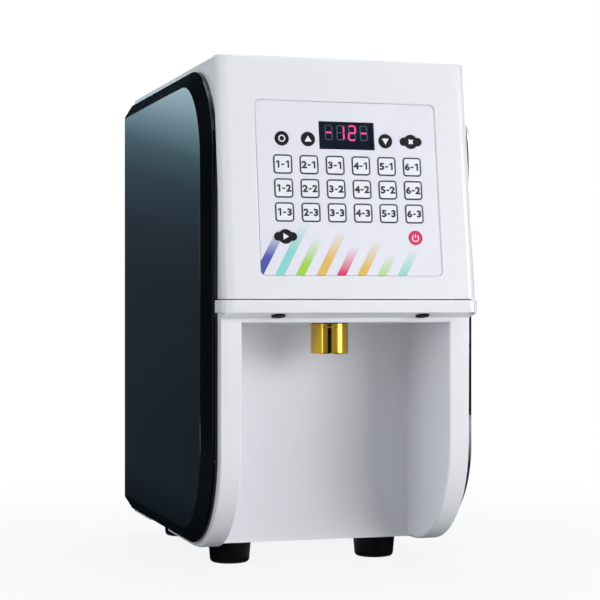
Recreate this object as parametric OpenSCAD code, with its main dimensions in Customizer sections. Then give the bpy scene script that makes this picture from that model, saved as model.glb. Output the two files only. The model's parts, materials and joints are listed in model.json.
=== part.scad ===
// Countertop powder dispenser: keypad head, cup bay, hopper with an auger, hinged lid.
// Drawn with x to the right, y to the back from the lower front face and z up from the table,
// then moved so that the middle of the footprint is the origin.

/* [Body] */
// Width of the white body between the side panels
body_w = 246; // [200:1:300]
// Depth of the body from the lower front face to the rear edge
body_d = 408; // [340:1:500]
// Height of the body from its underside to its top deck
body_h = 470; // [440:1:570]
// Thickness of moulded and sheet walls
wall = 3; // [2.4:0.1:4]
// Gap left at the seams between covers
seam_gap = 0.8; // [0.3:0.1:0.9]

/* [Feet and base] */
// Height of the rubber feet
foot_h = 23; // [12:1:40]
// Diameter of a foot at its top
foot_d = 44; // [30:1:56]
// Distance of the feet from the sides of the body
foot_inset = 46; // [34:1:60]
// Distance of the front feet behind the front frame
foot_front = 29; // [26:1:60]
// Distance of the rear feet from the rear edge
foot_rear = 48; // [34:1:80]
// Thickness of the base pan
pan_t = 2; // [1.5:0.1:3]
// Length of each hand hold along the body
hold_l = 93; // [70:1:120]
// Depth of each hand hold into the body
hold_depth = 22; // [15:1:30]
// Height of each hand hold
hold_h = 14; // [12:1:20]
// Distance of the hand holds behind the middle between the feet
hold_back = 20; // [0:1:30]

/* [Head] */
// Height of the seam under the head above the body's underside
seam_h = 241; // [200:1:290]
// Backward lean of the head's front face in degrees
head_lean = 8.2; // [5:0.1:10]
// How far the head stands ahead of the lower front face at the seam
head_out = 20; // [14:1:26]
// Radius of the head's upright corners
head_r = 11; // [8:1:11]
// Depth of the head's wide front band
head_step = 11.5; // [11.5:0.5:12]
// How far the front band stands out to each side
head_proud = 1.5; // [0.5:0.1:3]
// Distance behind the lower front face at which the head meets the housing
head_split = 43; // [38:1:60]

/* [Ledge and bay] */
// Height of the ledge below the seam
ledge_h = 12; // [8:1:16]
// How far the ledge stands ahead of the head
ledge_lip = 1; // [0:0.5:3]
// How far the ledge stands out to each side of the body
ledge_proud = 3; // [1:0.5:5]
// Drop of the sloping underside of the ledge
ledge_drop = 5; // [3:0.5:8]
// Height of the rail between that slope and the bay
rail_h = 4.5; // [3:0.5:10]
// Width of each cheek beside the bay
cheek_w = 20.3; // [16:0.1:30]
// Depth of the bay from the lower front face
bay_d = 116; // [106:1:150]
// Radius of the lower front corner of the cheeks
cheek_r = 104; // [60:1:104]
// Diameter of the plugs under the ledge
plug_d = 14; // [10:0.5:16]
// Distance of the plugs from the middle
plug_x = 71; // [40:1:90]

/* [Side panels] */
// How far a side panel stands out from the body
panel_t = 13.5; // [12:0.5:16]
// Height of the panel's square edge under its bevel
panel_edge = 4.5; // [2:0.5:8]
// Width of the bevel on the panel's front, top and bottom
panel_bevel = 14.5; // [10:0.5:22]
// Distance of the panel's front edge behind the lower front face
panel_front = 12.5; // [12.5:0.5:20]
// Distance of the panel's rear edge from the body's rear edge
panel_rear = 10; // [0:1:20]
// White margin above the panel
panel_over = 6.5; // [3:0.5:10]
// White margin below the panel
panel_under = 4; // [2:0.5:8]
// Radius of the panel's upper front corner
panel_top_r = 90; // [80:1:110]
// Radius of the panel's lower front corner
panel_low_r = 96; // [60:1:110]

/* [Keypad] */
// Width of the keypad recess
recess_w = 178; // [170:1:182]
// Height of the keypad recess along the lean
recess_h = 166; // [160:1:180]
// Depth of the keypad recess
recess_depth = 2.5; // [2.3:0.1:4]
// Corner radius of the keypad recess
recess_r = 5; // [3:0.5:8]
// Distance of the recess from the seam along the lean
recess_s = 23; // [18:1:30]
// Thickness of the printed keypad overlay
overlay_t = 1.6; // [1.4:0.1:2]
// Side of a square number key
key_size = 18; // [14:0.5:21.6]
// Corner radius of a square number key
key_r = 3; // [2:0.5:5]
// Radius of the round function keys
round_r = 6.8; // [5:0.1:8]
// Distance between key columns
key_pitch_x = 25.6; // [24:0.1:27]
// Distance between key rows along the lean
key_pitch_s = 22.7; // [22:0.1:26]
// Distance of the first key row from the seam along the lean
key_row_s = 128; // [124:1:132]
// Distance of the upper function keys from the seam along the lean
upper_keys_s = 152.6; // [150:0.1:158]
// Distance of the lower function keys from the seam along the lean
lower_keys_s = 59.6; // [55:0.1:62]
// Travel of a key
key_travel = 0.5; // [0.3:0.1:0.6]
// Width of the display window
window_w = 54.6; // [50:0.2:60]
// Height of the display window along the lean
window_h = 26.6; // [22:0.2:28]
// Distance of the window's middle from the seam along the lean
window_s = 156.8; // [154:0.1:160]

/* [Hopper and lid] */
// Distance of the hopper's front wall behind the lower front face
hopper_front = 85; // [80:1:110]
// Distance of the hopper's rear wall from the body's rear edge
hopper_rear = 83; // [80:1:100]
// Room between the hopper and the housing wall on each side
hopper_side = 22; // [18:1:40]
// Thickness of the hopper's sheet
hopper_t = 1.5; // [1:0.1:2]
// Width of the hopper's top flange
flange_w = 8; // [6:0.5:12]
// Height of the straight part of the hopper above the auger
shoulder_h = 110; // [95:1:130]
// Thickness of the lid
lid_t = 3; // [2:0.5:4]
// Thickness of the lid seal
seal_t = 1; // [0.8:0.1:2]
// Distance of the lid hinges from the middle
hinge_x = 60; // [30:1:75]
// Diameter of the lid hinge pins
pin_d = 4; // [3:0.5:5]

/* [Auger drive] */
// Height of the auger above the body's underside
auger_h = 267; // [262:1:285]
// Diameter of the auger flight
auger_d = 43; // [34:0.1:52]
// Pitch of one auger turn
auger_pitch = 72; // [50:1:90]
// Room between the auger flight and its trough
auger_gap = 2.5; // [1.5:0.1:3]
// Diameter of the auger and agitator shafts
shaft_d = 10; // [8:0.5:12]
// Length of an agitator rod from the shaft's middle
rod_l = 34; // [28:1:40]
// Gear module
gear_m = 1.5; // [1.2:0.1:1.6]
// Width of the gears
gear_t = 10; // [8:0.5:10]
// Diameter of the nozzle
nozzle_d = 36.5; // [30:0.1:44]
// Length of the nozzle below the bay ceiling
nozzle_drop = 30.5; // [20:0.5:50]
// Wall of the nozzle at its neck
nozzle_wall = 1.6; // [1.2:0.1:2.5]
// Distance of the nozzle behind the lower front face
nozzle_y = 57; // [50:1:58]

/* [Hidden] */
$fn = 64;
white = "#e8e7ec";
black = "#111416";
steel = "#b9bdc0";
gold = "#c99a3a";
rubber = "#1c1d1f";

// Counts that the node names follow
key_cols = 6;
key_rows = 3;
auger_teeth = 38;
agitator_teeth = 50;
pinion_teeth = 18;

// Fits, and the overlap that keeps unions and cuts clean
fit = 0.3;
press = 0.1;
running = 0.05;
overlap = 1;
// Flat left at the ends of slots, so that their outline keeps straight sides
end_flat = 0.1;

// Heights
half_w = body_w / 2;
z_base = foot_h;
z_top = z_base + body_h;
z_seam = z_base + seam_h;
z_ledge = z_seam - ledge_h;
bay_top = z_ledge - ledge_drop - rail_h;
bay_deck = bay_top + wall;
auger_z = z_base + auger_h;

// Depths
ledge_y = -head_out - ledge_lip;
frame_d = bay_d + wall;
bay_half = half_w - cheek_w;
inner_half = half_w - wall;
inlet_flange = 2.5;
mid_y = (ledge_y + body_d + inlet_flange) / 2;
rear_in = body_d - wall;
lip_in = rear_in - wall;
hold_y = (frame_d + foot_front + body_d - foot_rear) / 2 + hold_back;
ledge_slope = atan(ledge_drop / (-ledge_y - ledge_lip));

// Side panel
panel_low = z_base + panel_under;
panel_high = z_top - panel_over;
panel_steps = 24;
// Screw bosses inside a panel: two low ones, one behind the head and one at the upper rear
boss_r = 5;
boss_low = z_base + 37;
boss_front = frame_d + 32;
boss_rear = body_d - 38;
boss_places = [[boss_front, boss_low], [boss_rear, boss_low], [head_split + 67, z_top - 63],
               [boss_rear, z_top - 43]];

// Screws, and how deep they grip in each place
screw_r = 1.5;
screw_head_r = 3.2;
screw_head_h = 2;
screw_room = 0.2;
flush_head_r = 2.8;
flush_head_h = 1.3;
panel_grip = 6;
board_grip = 4;
foot_grip = 12;

// Head fixing tongues, which lie inside the housing walls
tongue_t = 2.5;
tongue_reach = 12;
tongue_root = 8;
tongue_zs = [z_seam + 60, z_top - 60];
tongue_h = 30;

// Keypad stack, measured inwards from the head's front face
floor_in = recess_depth;
floor_out = recess_depth + wall;
overlay_face = floor_in - overlay_t;
key_proud = 0.2;
key_room = 0.1;
cap_top = overlay_face - key_proud;
cap_low = floor_in - key_travel - key_room;
stem_r = 2.5;
tip_r = 1.75;
switch_side = 6;
switch_h = 3.5;
switch_bore = 2;
switch_room = 0.2;
switch_top = floor_out + 2.4;
board_t = 1.6;
board_face = switch_top + switch_h;
board_w = 166;
board_h = 150;
board_hole_in = 7;
board_mid = recess_s + recess_h / 2;
post_r = 4;
window_t = 1.2;
window_rest = 1.5;
module_h = 19;
tab_l = 22;
tab_h = 8;

// Hopper and its drive, from front to back
hop_y0 = hopper_front;
hop_y1 = body_d - hopper_rear;
hop_half = inner_half - hopper_side;
trough_r = auger_d / 2 + auger_gap;
gear_room = 6;
plate_room = 5;
gear_y = hop_y1 + gear_room;
plate_y = gear_y + gear_t + plate_room;
plate_t = 3;
plate_half = 50;
shaft_tail = 3;
shaft_end = plate_y + plate_t + shaft_tail;
shaft_r = shaft_d / 2;
bush_r = shaft_r + 3;
bush_l = 6;
bush_flange_r = shaft_r + 6;
bush_flange_t = 2;
agitator_z = auger_z + gear_m * (auger_teeth + agitator_teeth) / 2;
motor_z = auger_z - gear_m * (auger_teeth + pinion_teeth) / 2;
pinion_shaft_r = 4;
motor_r = 30;
motor_can_r = 24;
motor_l = 26;
motor_can_l = 22;
motor_floor = 2;
spacer_r = 5;
spacer_x = 42;
spacer_zs = [agitator_z - 21, agitator_z + 46];
rod_r = 3;
rod_count = 4;
flight_t = 3;
flight_step = 3;
flight_sides = 4;
flight_ahead = 11;
flight_room = 6;
flight_y0 = nozzle_y - flight_ahead;
flight_y1 = hop_y1 - flight_room;

// Nozzle and elbow
nozzle_r = nozzle_d / 2;
neck_step = 3;
neck_l = 13;
neck_r = nozzle_r - neck_step;
nozzle_bore = neck_r - nozzle_wall;
gasket_t = 1;
nozzle_top = bay_top - gasket_t;
nozzle_low = bay_top - nozzle_drop;
neck_top = bay_deck + neck_l;
elbow_wall = 2.5;
elbow_flange = 3;
elbow_rim = 5;
elbow_y0 = nozzle_y - nozzle_bore - elbow_rim;

// Lid and its hinges
flange_top = z_top + hopper_t;
lid_low = flange_top + seal_t;
lid_over = flange_w + 4;
lid_half = hop_half + lid_over;
lid_y0 = hop_y0 - lid_over;
lid_y1 = hop_y1 + lid_over;
deck_room = 1;
hinge_wall = 2.2;
hinge_back = 7;
hinge_r = pin_d / 2 + hinge_wall;
hinge_y = lid_y1 + hinge_back;
hinge_z = z_top + hinge_r + seam_gap;
barrel_w = 14;
ear_w = 4;
ear_gap = 0.4;

// Rear fittings
inlet_x = 60;
inlet_z = z_base + 60;
inlet_w = 27;
inlet_h = 19.6;
inlet_depth = 17;
inlet_wall = 1.5;
inlet_floor = 2;
inlet_flange_w = 48;
inlet_flange_h = 22.6;
inlet_screw_x = 20;
switch_x = 10;
switch_w = 13;
switch_l = 19;
switch_depth = 16;
switch_cavity = 7;
pivot_w = switch_w - 1;
bezel_t = 1.6;
bezel_w = 1;
rocker_tilt = 10;
rocker_axis = -1;
rocker_pin_r = 1.4;
vent_rows = 8;
vent_pitch = 11;
vent_w = 62;
vent_slot = 4;
lip_w = 14;
cover_screw_in = 40;
cover_screw_zs = [z_base + cover_screw_in, (z_base + z_top) / 2, z_top - cover_screw_in];
cover_screw_x = inner_half - lip_w / 2;

// Power supply and its terminal block
supply_w = 100;
supply_l = 150;
supply_h = 40;
supply_y = frame_d + 40;
terminal_l = 12;
terminal_in = 6;

function col_x(c) = (c - (key_cols + 1) / 2) * key_pitch_x;
function row_s(r) = key_row_s - (r - 1) * key_pitch_s;
function key_name(c, r) = str("key_", c, "_", r);
function foot_places() = [for (x = [-1, 1]) for (y = [frame_d + foot_front, body_d - foot_rear])
    [x * (half_w - foot_inset), y]];

// Function keys: node name, place on the panel, shape
FUNCTION_KEYS = [
    ["key_store", [col_x(1), upper_keys_s], "round"],
    ["key_up", [col_x(2), upper_keys_s], "round"],
    ["key_down", [col_x(5), upper_keys_s], "round"],
    ["key_clear", [col_x(6), upper_keys_s], "tab"],
    ["key_run", [col_x(1), lower_keys_s], "tab"],
    ["key_power", [col_x(6), lower_keys_s], "round"]
];
NUMBER_KEYS = [for (r = [1:key_rows]) for (c = [1:key_cols])
    [key_name(c, r), [col_x(c), row_s(r)], "square"]];
KEYS = concat(NUMBER_KEYS, FUNCTION_KEYS);

// Shared placements and outlines

module place() {
    translate([0, -mid_y, 0]) children();
}

// Draws a y-z outline across the body
module across(w) {
    rotate([90, 0, 90]) linear_extrude(w, center = true) children();
}

// Draws an x-z outline along the body from y0 to y1
module along(y0, y1) {
    translate([0, y1, 0]) rotate([90, 0, 0]) linear_extrude(y1 - y0) children();
}

// A rod along y at a given height
module rod_y(r, y0, y1, z, x = 0) {
    translate([x, y0, z]) rotate([-90, 0, 0]) cylinder(r = r, h = y1 - y0);
}

// Places children on the leaning front face: x right, y up the lean, z outwards
module on_panel(at = [0, 0]) {
    translate([0, -head_out, z_seam]) rotate([90 - head_lean, 0, 0])
        translate([at[0], at[1], 0]) children();
}

// Places children on the rear face: x to the left, y up, z outwards
module on_rear(x, z) {
    translate([x, body_d, z]) rotate([90, 0, 180]) children();
}

module rounded(w, h, r) {
    square([w, h - 2 * r], center = true);
    square([w - 2 * r, h], center = true);
    for (x = [-1, 1], y = [-1, 1])
        translate([x * (w / 2 - r), y * (h / 2 - r)]) circle(r);
}

// A rectangle from y0 to y1 whose two corners at y0 are round
module rounded_front(w, y0, y1, r) {
    translate([-w / 2, y0 + r]) square([w, y1 - y0 - r]);
    translate([-w / 2 + r, y0]) square([w - 2 * r, r]);
    for (x = [-1, 1])
        translate([x * (w / 2 - r), y0 + r]) intersection() {
            circle(r);
            translate([-r, -r]) square([2 * r, r]);
        }
}

// A screw whose head rests at z = 0 and whose shank points down
module screw(l) {
    cylinder(r = screw_head_r, h = screw_head_h);
    translate([0, 0, -l]) cylinder(r = screw_r, h = l);
}

// A countersunk screw, or with some room its hole, whose head ends at z = 0
module flush_screw(l, room) {
    translate([0, 0, -flush_head_h])
        cylinder(r1 = screw_r + room, r2 = flush_head_r + room, h = flush_head_h);
    translate([0, 0, -l]) cylinder(r = screw_r + room, h = l);
}

// Base

module base_pan() {
    pan_half = inner_half - fit;
    y0 = frame_d + fit;
    lip_h = 15;
    color(steel) difference() {
        union() {
            translate([-pan_half, y0, z_base]) cube([2 * pan_half, lip_in - fit - y0, pan_t]);
            for (s = [-1, 1]) {
                translate([s * (pan_half - pan_t / 2) - pan_t / 2, y0, z_base])
                    cube([pan_t, lip_in - fit - y0, lip_h]);
                hand_well(s, pan_half, pan_t);
            }
        }
        for (s = [-1, 1])
            hand_well(s, pan_half + overlap, 0);
        for (p = foot_places())
            translate([p[0], p[1], z_base - overlap])
                cylinder(r = screw_r + screw_room, h = pan_t + 2 * overlap);
    }
}

// Box of a hand hold at one side, grown by t on its inner sides and roof
module hand_well(s, x_out, t) {
    x_in = inner_half - fit - hold_depth - t;
    translate([s > 0 ? x_in : -x_out, hold_y - hold_l / 2 - t, z_base - (t > 0 ? 0 : overlap)])
        cube([x_out - x_in, hold_l + 2 * t, hold_h + t + (t > 0 ? 0 : overlap)]);
}

module feet() {
    rim = 4;
    low_r = foot_d / 2 - rim / 2;
    bore_l = foot_grip + 2;
    color(rubber)
        for (p = foot_places())
            translate([p[0], p[1], 0]) difference() {
                union() {
                    translate([0, 0, rim]) cylinder(r1 = low_r, r2 = foot_d / 2, h = foot_h - rim);
                    cylinder(r = low_r - rim, h = rim);
                    translate([0, 0, rim]) rotate_extrude() translate([low_r - rim, 0])
                        intersection() {
                            circle(rim);
                            translate([0, -rim]) square([rim, rim]);
                        }
                }
                translate([0, 0, foot_h - bore_l]) cylinder(r = screw_r + press, h = bore_l + overlap);
            }
}

// Housing

module side_outline() {
    translate([head_split + seam_gap, z_seam]) square([body_d - head_split - seam_gap, z_top - z_seam]);
    translate([frame_d + fit, z_base]) square([body_d - frame_d - fit, seam_h + overlap]);
}

module main_housing() {
    color(white) difference() {
        union() {
            for (s = [-1, 1]) {
                translate([s * (half_w - wall / 2), 0, 0]) across(wall) side_outline();
                translate([s * (inner_half - lip_w / 2) - lip_w / 2, lip_in, z_base])
                    cube([lip_w, wall, body_h]);
            }
            translate([-half_w, head_split + seam_gap, z_top - wall])
                cube([body_w, body_d - head_split - seam_gap, wall]);
            lid_ears();
        }
        translate([-hop_half - deck_room, hop_y0 - deck_room, z_top - 2 * wall])
            cube([2 * (hop_half + deck_room), hop_y1 - hop_y0 + 2 * deck_room, 3 * wall]);
        translate([-body_w, hold_y - hold_l / 2, z_base - overlap])
            cube([2 * body_w, hold_l, hold_h + overlap]);
        panel_screw_places() cylinder(r = screw_r + screw_room, h = 6 * wall, center = true);
        tongue_screw_places() cylinder(r = screw_r + screw_room, h = 6 * wall, center = true);
        cover_screw_places() cylinder(r = screw_r + press, h = 6 * wall, center = true);
    }
}

// Hinge ears that stand on the deck behind the lid
module lid_ears() {
    for (s = [-1, 1], e = [-1, 1])
        translate([s * hinge_x + e * (barrel_w / 2 + ear_gap + ear_w / 2), hinge_y, hinge_z])
            rotate([0, 90, 0]) difference() {
                union() {
                    cylinder(r = hinge_r, h = ear_w, center = true);
                    translate([0, -hinge_r, -ear_w / 2])
                        cube([hinge_z - z_top + wall / 2, 2 * hinge_r, ear_w]);
                }
                cylinder(r = pin_d / 2 + running, h = ear_w + overlap, center = true);
            }
}

// Screw places with z along the screw, pointing out of its head
module panel_screw_places() {
    for (s = [-1, 1], p = boss_places)
        translate([s * inner_half, p[0], p[1]]) rotate([0, -90 * s, 0]) children();
}

module tongue_screw_places() {
    for (s = [-1, 1], z = tongue_zs)
        translate([s * half_w, head_split + tongue_reach / 2, z]) rotate([0, 90 * s, 0]) children();
}

module cover_screw_places() {
    for (s = [-1, 1], z = cover_screw_zs)
        on_rear(s * cover_screw_x, z) children();
}

// Lower front frame with the ledge and the cup bay

// Side outline of the frame, drawn in by inset, up to a given depth and height
module frame_outline(inset, depth, top) {
    r = cheek_r - inset;
    translate([inset, z_base + cheek_r]) square([depth - inset, top - z_base - cheek_r]);
    translate([cheek_r, z_base + inset]) square([depth - cheek_r, r]);
    translate([cheek_r, z_base + cheek_r]) intersection() {
        circle(r);
        translate([-r, -r]) square(r);
    }
}

module ledge_rim() {
    w = body_w + 2 * ledge_proud;
    translate([0, 0, z_ledge]) linear_extrude(ledge_h)
        rounded_front(w, ledge_y, panel_front - seam_gap, head_r);
    intersection() {
        across(body_w) polygon([[ledge_y + ledge_lip, z_ledge], [0, z_ledge - ledge_drop],
                                [overlap, z_ledge - ledge_drop], [overlap, z_ledge + overlap],
                                [ledge_y + ledge_lip, z_ledge + overlap]]);
        translate([0, 0, z_ledge - ledge_drop]) linear_extrude(ledge_h)
            rounded_front(w, ledge_y, panel_front, head_r);
    }
}

module plug_places() {
    for (s = [-1, 1])
        translate([s * plug_x, ledge_y / 2, z_ledge - ledge_drop / 2])
            rotate([180 - ledge_slope, 0, 0]) children();
}

module front_frame() {
    pocket = cheek_w - 2 * wall;
    color(white) difference() {
        union() {
            across(body_w) frame_outline(0, frame_d, z_seam);
            ledge_rim();
        }
        translate([-bay_half, -overlap, 0]) cube([2 * bay_half, bay_d + overlap, bay_top]);
        for (s = [-1, 1])
            translate([s * (bay_half + cheek_w / 2), 0, 0])
                across(pocket) frame_outline(wall, frame_d + overlap, bay_deck + overlap);
        translate([-inner_half, wall, bay_deck])
            cube([2 * inner_half, frame_d, z_seam - bay_deck + overlap]);
        translate([0, 0, z_ledge + wall]) linear_extrude(ledge_h)
            rounded_front(2 * inner_half, ledge_y + wall, wall + overlap, head_r - wall);
        translate([0, nozzle_y, bay_top - overlap])
            cylinder(r = neck_r + fit, h = wall + 2 * overlap);
        plug_places() cylinder(r = plug_d / 3 + press, h = 6 * wall, center = true);
    }
}

module ledge_plugs() {
    cap = 1.2;
    stem = 5;
    color(rubber) plug_places() {
        cylinder(r1 = plug_d / 2, r2 = plug_d / 2 - cap / 2, h = cap);
        translate([0, 0, -stem]) cylinder(r = plug_d / 3, h = stem);
    }
}

// Head cover

// Section of the head square to the lean, drawn in by inset
module head_section(inset) {
    rounded_front(body_w + 2 * head_proud - 2 * inset, inset, head_step, head_r - inset);
    translate([inset - half_w, head_step - overlap]) square([body_w - 2 * inset, 4 * head_split]);
}

module head_block(inset, z0, z1, y1) {
    intersection() {
        on_panel() rotate([-90, 0, 0]) translate([0, 0, -body_h]) linear_extrude(3 * body_h)
            head_section(inset);
        translate([-body_w, y1 - body_d, z0]) cube([2 * body_w, body_d, z1 - z0]);
    }
}

module head_cover() {
    pad = wall;
    color(white) difference() {
        union() {
            difference() {
                head_block(0, z_seam + seam_gap, z_top, head_split);
                head_block(wall, z_seam - overlap, z_top - wall, head_split + overlap);
            }
            on_panel([0, board_mid]) translate([0, 0, -floor_out]) linear_extrude(floor_out - overlap)
                rounded(recess_w + 2 * pad, recess_h + 2 * pad, recess_r + pad);
            board_corners() translate([0, 0, -board_face])
                cylinder(r = post_r, h = board_face - floor_in - overlap);
            head_tongues();
        }
        on_panel([0, board_mid]) translate([0, 0, -floor_in]) linear_extrude(floor_in + overlap)
            rounded(recess_w, recess_h, recess_r);
        for (k = KEYS)
            on_panel(k[1]) translate([0, 0, -floor_out - overlap])
                cylinder(r = stem_r + fit, h = wall + 2 * overlap);
        on_panel([0, window_s])
            cube([window_w - 2 * window_rest, module_h + 2, 4 * floor_out], center = true);
        board_corners() translate([0, 0, -board_face - overlap])
            cylinder(r = screw_r + press, h = board_face - floor_out + overlap);
        tongue_screw_places() cylinder(r = screw_r + press, h = 8 * wall, center = true);
    }
}

// Tongues behind the head's side walls that slip inside the housing
module head_tongues() {
    x_out = inner_half - fit;
    for (s = [-1, 1], z = tongue_zs) {
        translate([s * (x_out - tongue_t / 2) - tongue_t / 2, head_split - tongue_root, z - tongue_h / 2])
            cube([tongue_t, tongue_root + tongue_reach, tongue_h]);
        translate([s * inner_half - tongue_t / 2, head_split - tongue_root, z - tongue_h / 2])
            cube([tongue_t, tongue_root - overlap, tongue_h]);
    }
}

module board_corners() {
    hole_x = board_w / 2 - board_hole_in;
    hole_y = board_h / 2 - board_hole_in;
    for (x = [-1, 1], y = [-1, 1])
        on_panel([x * hole_x, board_mid + y * hole_y]) children();
}

// Side panels

function arc(c, r, a0, a1) = [for (i = [0:panel_steps])
    let (a = a0 + (a1 - a0) * i / panel_steps) [c[0] + r * cos(a), c[1] + r * sin(a)]];

// Side outline of a panel, drawn in by inset at its front, top and bottom
function panel_outline(inset, rear) = concat(
    [[rear, panel_low + inset]],
    arc([panel_front + panel_low_r, panel_low + panel_low_r], panel_low_r - inset, 270, 180),
    arc([panel_front + panel_top_r, panel_high - panel_top_r], panel_top_r - inset, 180, 90),
    [[rear, panel_high - inset]]);

module panel_layer(inset, rear, x0, x1) {
    rotate([90, 0, 90]) translate([0, 0, x0]) linear_extrude(x1 - x0)
        polygon(panel_outline(inset, rear));
}

module panel_cap() {
    rear = body_d - panel_rear;
    difference() {
        hull() {
            panel_layer(0, rear, half_w, half_w + panel_edge);
            panel_layer(panel_bevel, rear, half_w + panel_edge, half_w + panel_t);
        }
        hull() {
            panel_layer(wall, rear - wall, half_w - overlap, half_w + panel_edge - wall / 2);
            panel_layer(panel_bevel + wall / 2, rear - wall, half_w, half_w + panel_t - wall);
        }
    }
    for (p = boss_places)
        translate([half_w, p[0], p[1]]) rotate([0, 90, 0]) difference() {
            cylinder(r = boss_r, h = panel_t - wall + overlap);
            translate([0, 0, -overlap]) cylinder(r = screw_r + press, h = panel_t - wall);
        }
}

module right_side_panel() {
    color(black) panel_cap();
}

module left_side_panel() {
    color(black) mirror([1, 0, 0]) panel_cap();
}

// Rear cover and its fittings

module rear_cover() {
    w = 2 * (inner_half - fit);
    h = body_h - wall - 2 * fit;
    color(white) difference() {
        translate([-w / 2, rear_in, z_base + fit]) cube([w, wall, h]);
        on_rear(inlet_x, inlet_z) cube([inlet_w + fit, inlet_h + fit, 4 * wall], center = true);
        on_rear(switch_x, inlet_z) cube([switch_w + fit, switch_l + fit, 4 * wall], center = true);
        for (s = [-1, 1])
            on_rear(inlet_x + s * inlet_screw_x, inlet_z)
                cylinder(r = screw_r + press, h = 4 * wall, center = true);
        cover_screw_places() cylinder(r = screw_r + screw_room, h = 4 * wall, center = true);
        for (s = [-1, 1], i = [0:vent_rows - 1])
            on_rear(s * inner_half / 2, z_seam + (i - (vent_rows - 1) / 2) * vent_pitch)
                linear_extrude(4 * wall, center = true)
                    rounded(vent_w, vent_slot, vent_slot / 2 - end_flat);
    }
}

module power_inlet() {
    pin = [2, 4, 13];
    pin_places = [[-7, -2.5], [7, -2.5], [0, 3]];
    color(black) on_rear(inlet_x, inlet_z) {
        difference() {
            union() {
                linear_extrude(inlet_flange) rounded(inlet_flange_w, inlet_flange_h, 4);
                translate([-inlet_w / 2, -inlet_h / 2, -inlet_depth])
                    cube([inlet_w, inlet_h, inlet_depth + overlap]);
            }
            translate([inlet_wall - inlet_w / 2, inlet_wall - inlet_h / 2, inlet_floor - inlet_depth])
                cube([inlet_w - 2 * inlet_wall, inlet_h - 2 * inlet_wall, inlet_depth + inlet_flange]);
            for (s = [-1, 1])
                translate([s * inlet_screw_x, 0, inlet_flange]) {
                    flush_screw(inlet_flange + overlap, press);
                    cylinder(r = flush_head_r + press, h = overlap);
                }
        }
        for (p = pin_places)
            translate([p[0] - pin[0] / 2, p[1] - pin[1] / 2, inlet_floor / 4 - inlet_depth]) cube(pin);
    }
}

module switch_body() {
    cavity_w = switch_w - 2;
    cavity_l = switch_l - 1.4;
    color(black) on_rear(switch_x, inlet_z) difference() {
        union() {
            linear_extrude(bezel_t) rounded(switch_w + 2 * bezel_w, switch_l + 2 * bezel_w, 1.5);
            translate([-switch_w / 2, -switch_l / 2, -switch_depth])
                cube([switch_w, switch_l, switch_depth + overlap]);
        }
        translate([-cavity_w / 2, -cavity_l / 2, -switch_cavity])
            cube([cavity_w, cavity_l, switch_cavity + bezel_t + overlap]);
        translate([0, 0, rocker_axis]) rotate([0, 90, 0])
            cylinder(r = rocker_pin_r + running, h = pivot_w + press, center = true);
    }
}

module switch_rocker() {
    half_l = 8;
    w = switch_w - 2.6;
    color(rubber) on_rear(switch_x, inlet_z) translate([0, 0, rocker_axis]) rotate(rocker_tilt, [1, 0, 0]) {
        rotate([90, 0, 90]) linear_extrude(w, center = true)
            polygon([[-half_l, 2], [0, 1], [half_l, 2], [half_l - 1, -3], [1 - half_l, -3]]);
        rotate([0, 90, 0]) cylinder(r = rocker_pin_r, h = pivot_w, center = true);
    }
}

// Hopper and lid

// Cross-section of the hopper, drawn in by inset, up to a given height
module hopper_section(inset, top) {
    x = hop_half - inset;
    r = trough_r + hopper_t - inset;
    polygon([[-x, top], [x, top], [x, auger_z + shoulder_h], [r, auger_z], [-r, auger_z],
             [-x, auger_z + shoulder_h]]);
    translate([0, auger_z]) circle(r);
}

module hopper() {
    color(steel) difference() {
        union() {
            along(hop_y0, hop_y1) hopper_section(0, flange_top);
            translate([-hop_half - flange_w, hop_y0 - flange_w, z_top])
                cube([2 * (hop_half + flange_w), hop_y1 - hop_y0 + 2 * flange_w, hopper_t]);
        }
        along(hop_y0 + hopper_t, hop_y1 - hopper_t) hopper_section(hopper_t, flange_top + overlap);
        rod_y(trough_r, hop_y0 - overlap, hop_y0 + 2 * hopper_t, auger_z);
        rod_y(bush_r + press, hop_y1 - 2 * hopper_t, hop_y1 + overlap, auger_z);
        rod_y(bush_r + press, hop_y0 - overlap, hop_y1 + overlap, agitator_z);
    }
}

// A flat ring plate between an outer and an inner half width round the hopper
module hopper_ring(out, in, z0, z1) {
    difference() {
        translate([-hop_half - out, hop_y0 - out, z0])
            cube([2 * (hop_half + out), hop_y1 - hop_y0 + 2 * out, z1 - z0]);
        translate([-hop_half - in, hop_y0 - in, z0 - overlap])
            cube([2 * (hop_half + in), hop_y1 - hop_y0 + 2 * in, z1 - z0 + 2 * overlap]);
    }
}

module lid_seal() {
    color(rubber) hopper_ring(flange_w - 1, 1, flange_top + running, lid_low);
}

module top_lid() {
    rim = 2;
    grip_w = 60;
    grip_d = 9;
    color(white) difference() {
        union() {
            translate([0, (lid_y0 + lid_y1) / 2, lid_low]) linear_extrude(lid_t)
                rounded(2 * lid_half, lid_y1 - lid_y0, 8);
            hopper_ring(flange_w + 1 + rim, flange_w + 1, z_top + seam_gap, lid_low + overlap);
            translate([0, lid_y0, lid_low]) linear_extrude(lid_t - 1) rounded(grip_w, 2 * grip_d, 5);
            for (s = [-1, 1]) {
                translate([s * hinge_x, hinge_y, hinge_z]) rotate([0, 90, 0])
                    cylinder(r = hinge_r, h = barrel_w, center = true);
                translate([s * hinge_x - barrel_w / 2, lid_y1 - overlap, lid_low])
                    cube([barrel_w, hinge_y - lid_y1 + overlap, lid_t]);
            }
        }
        for (s = [-1, 1])
            translate([s * hinge_x, hinge_y, hinge_z]) rotate([0, 90, 0])
                cylinder(r = pin_d / 2 + running, h = barrel_w + 2 * overlap, center = true);
    }
}

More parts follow.
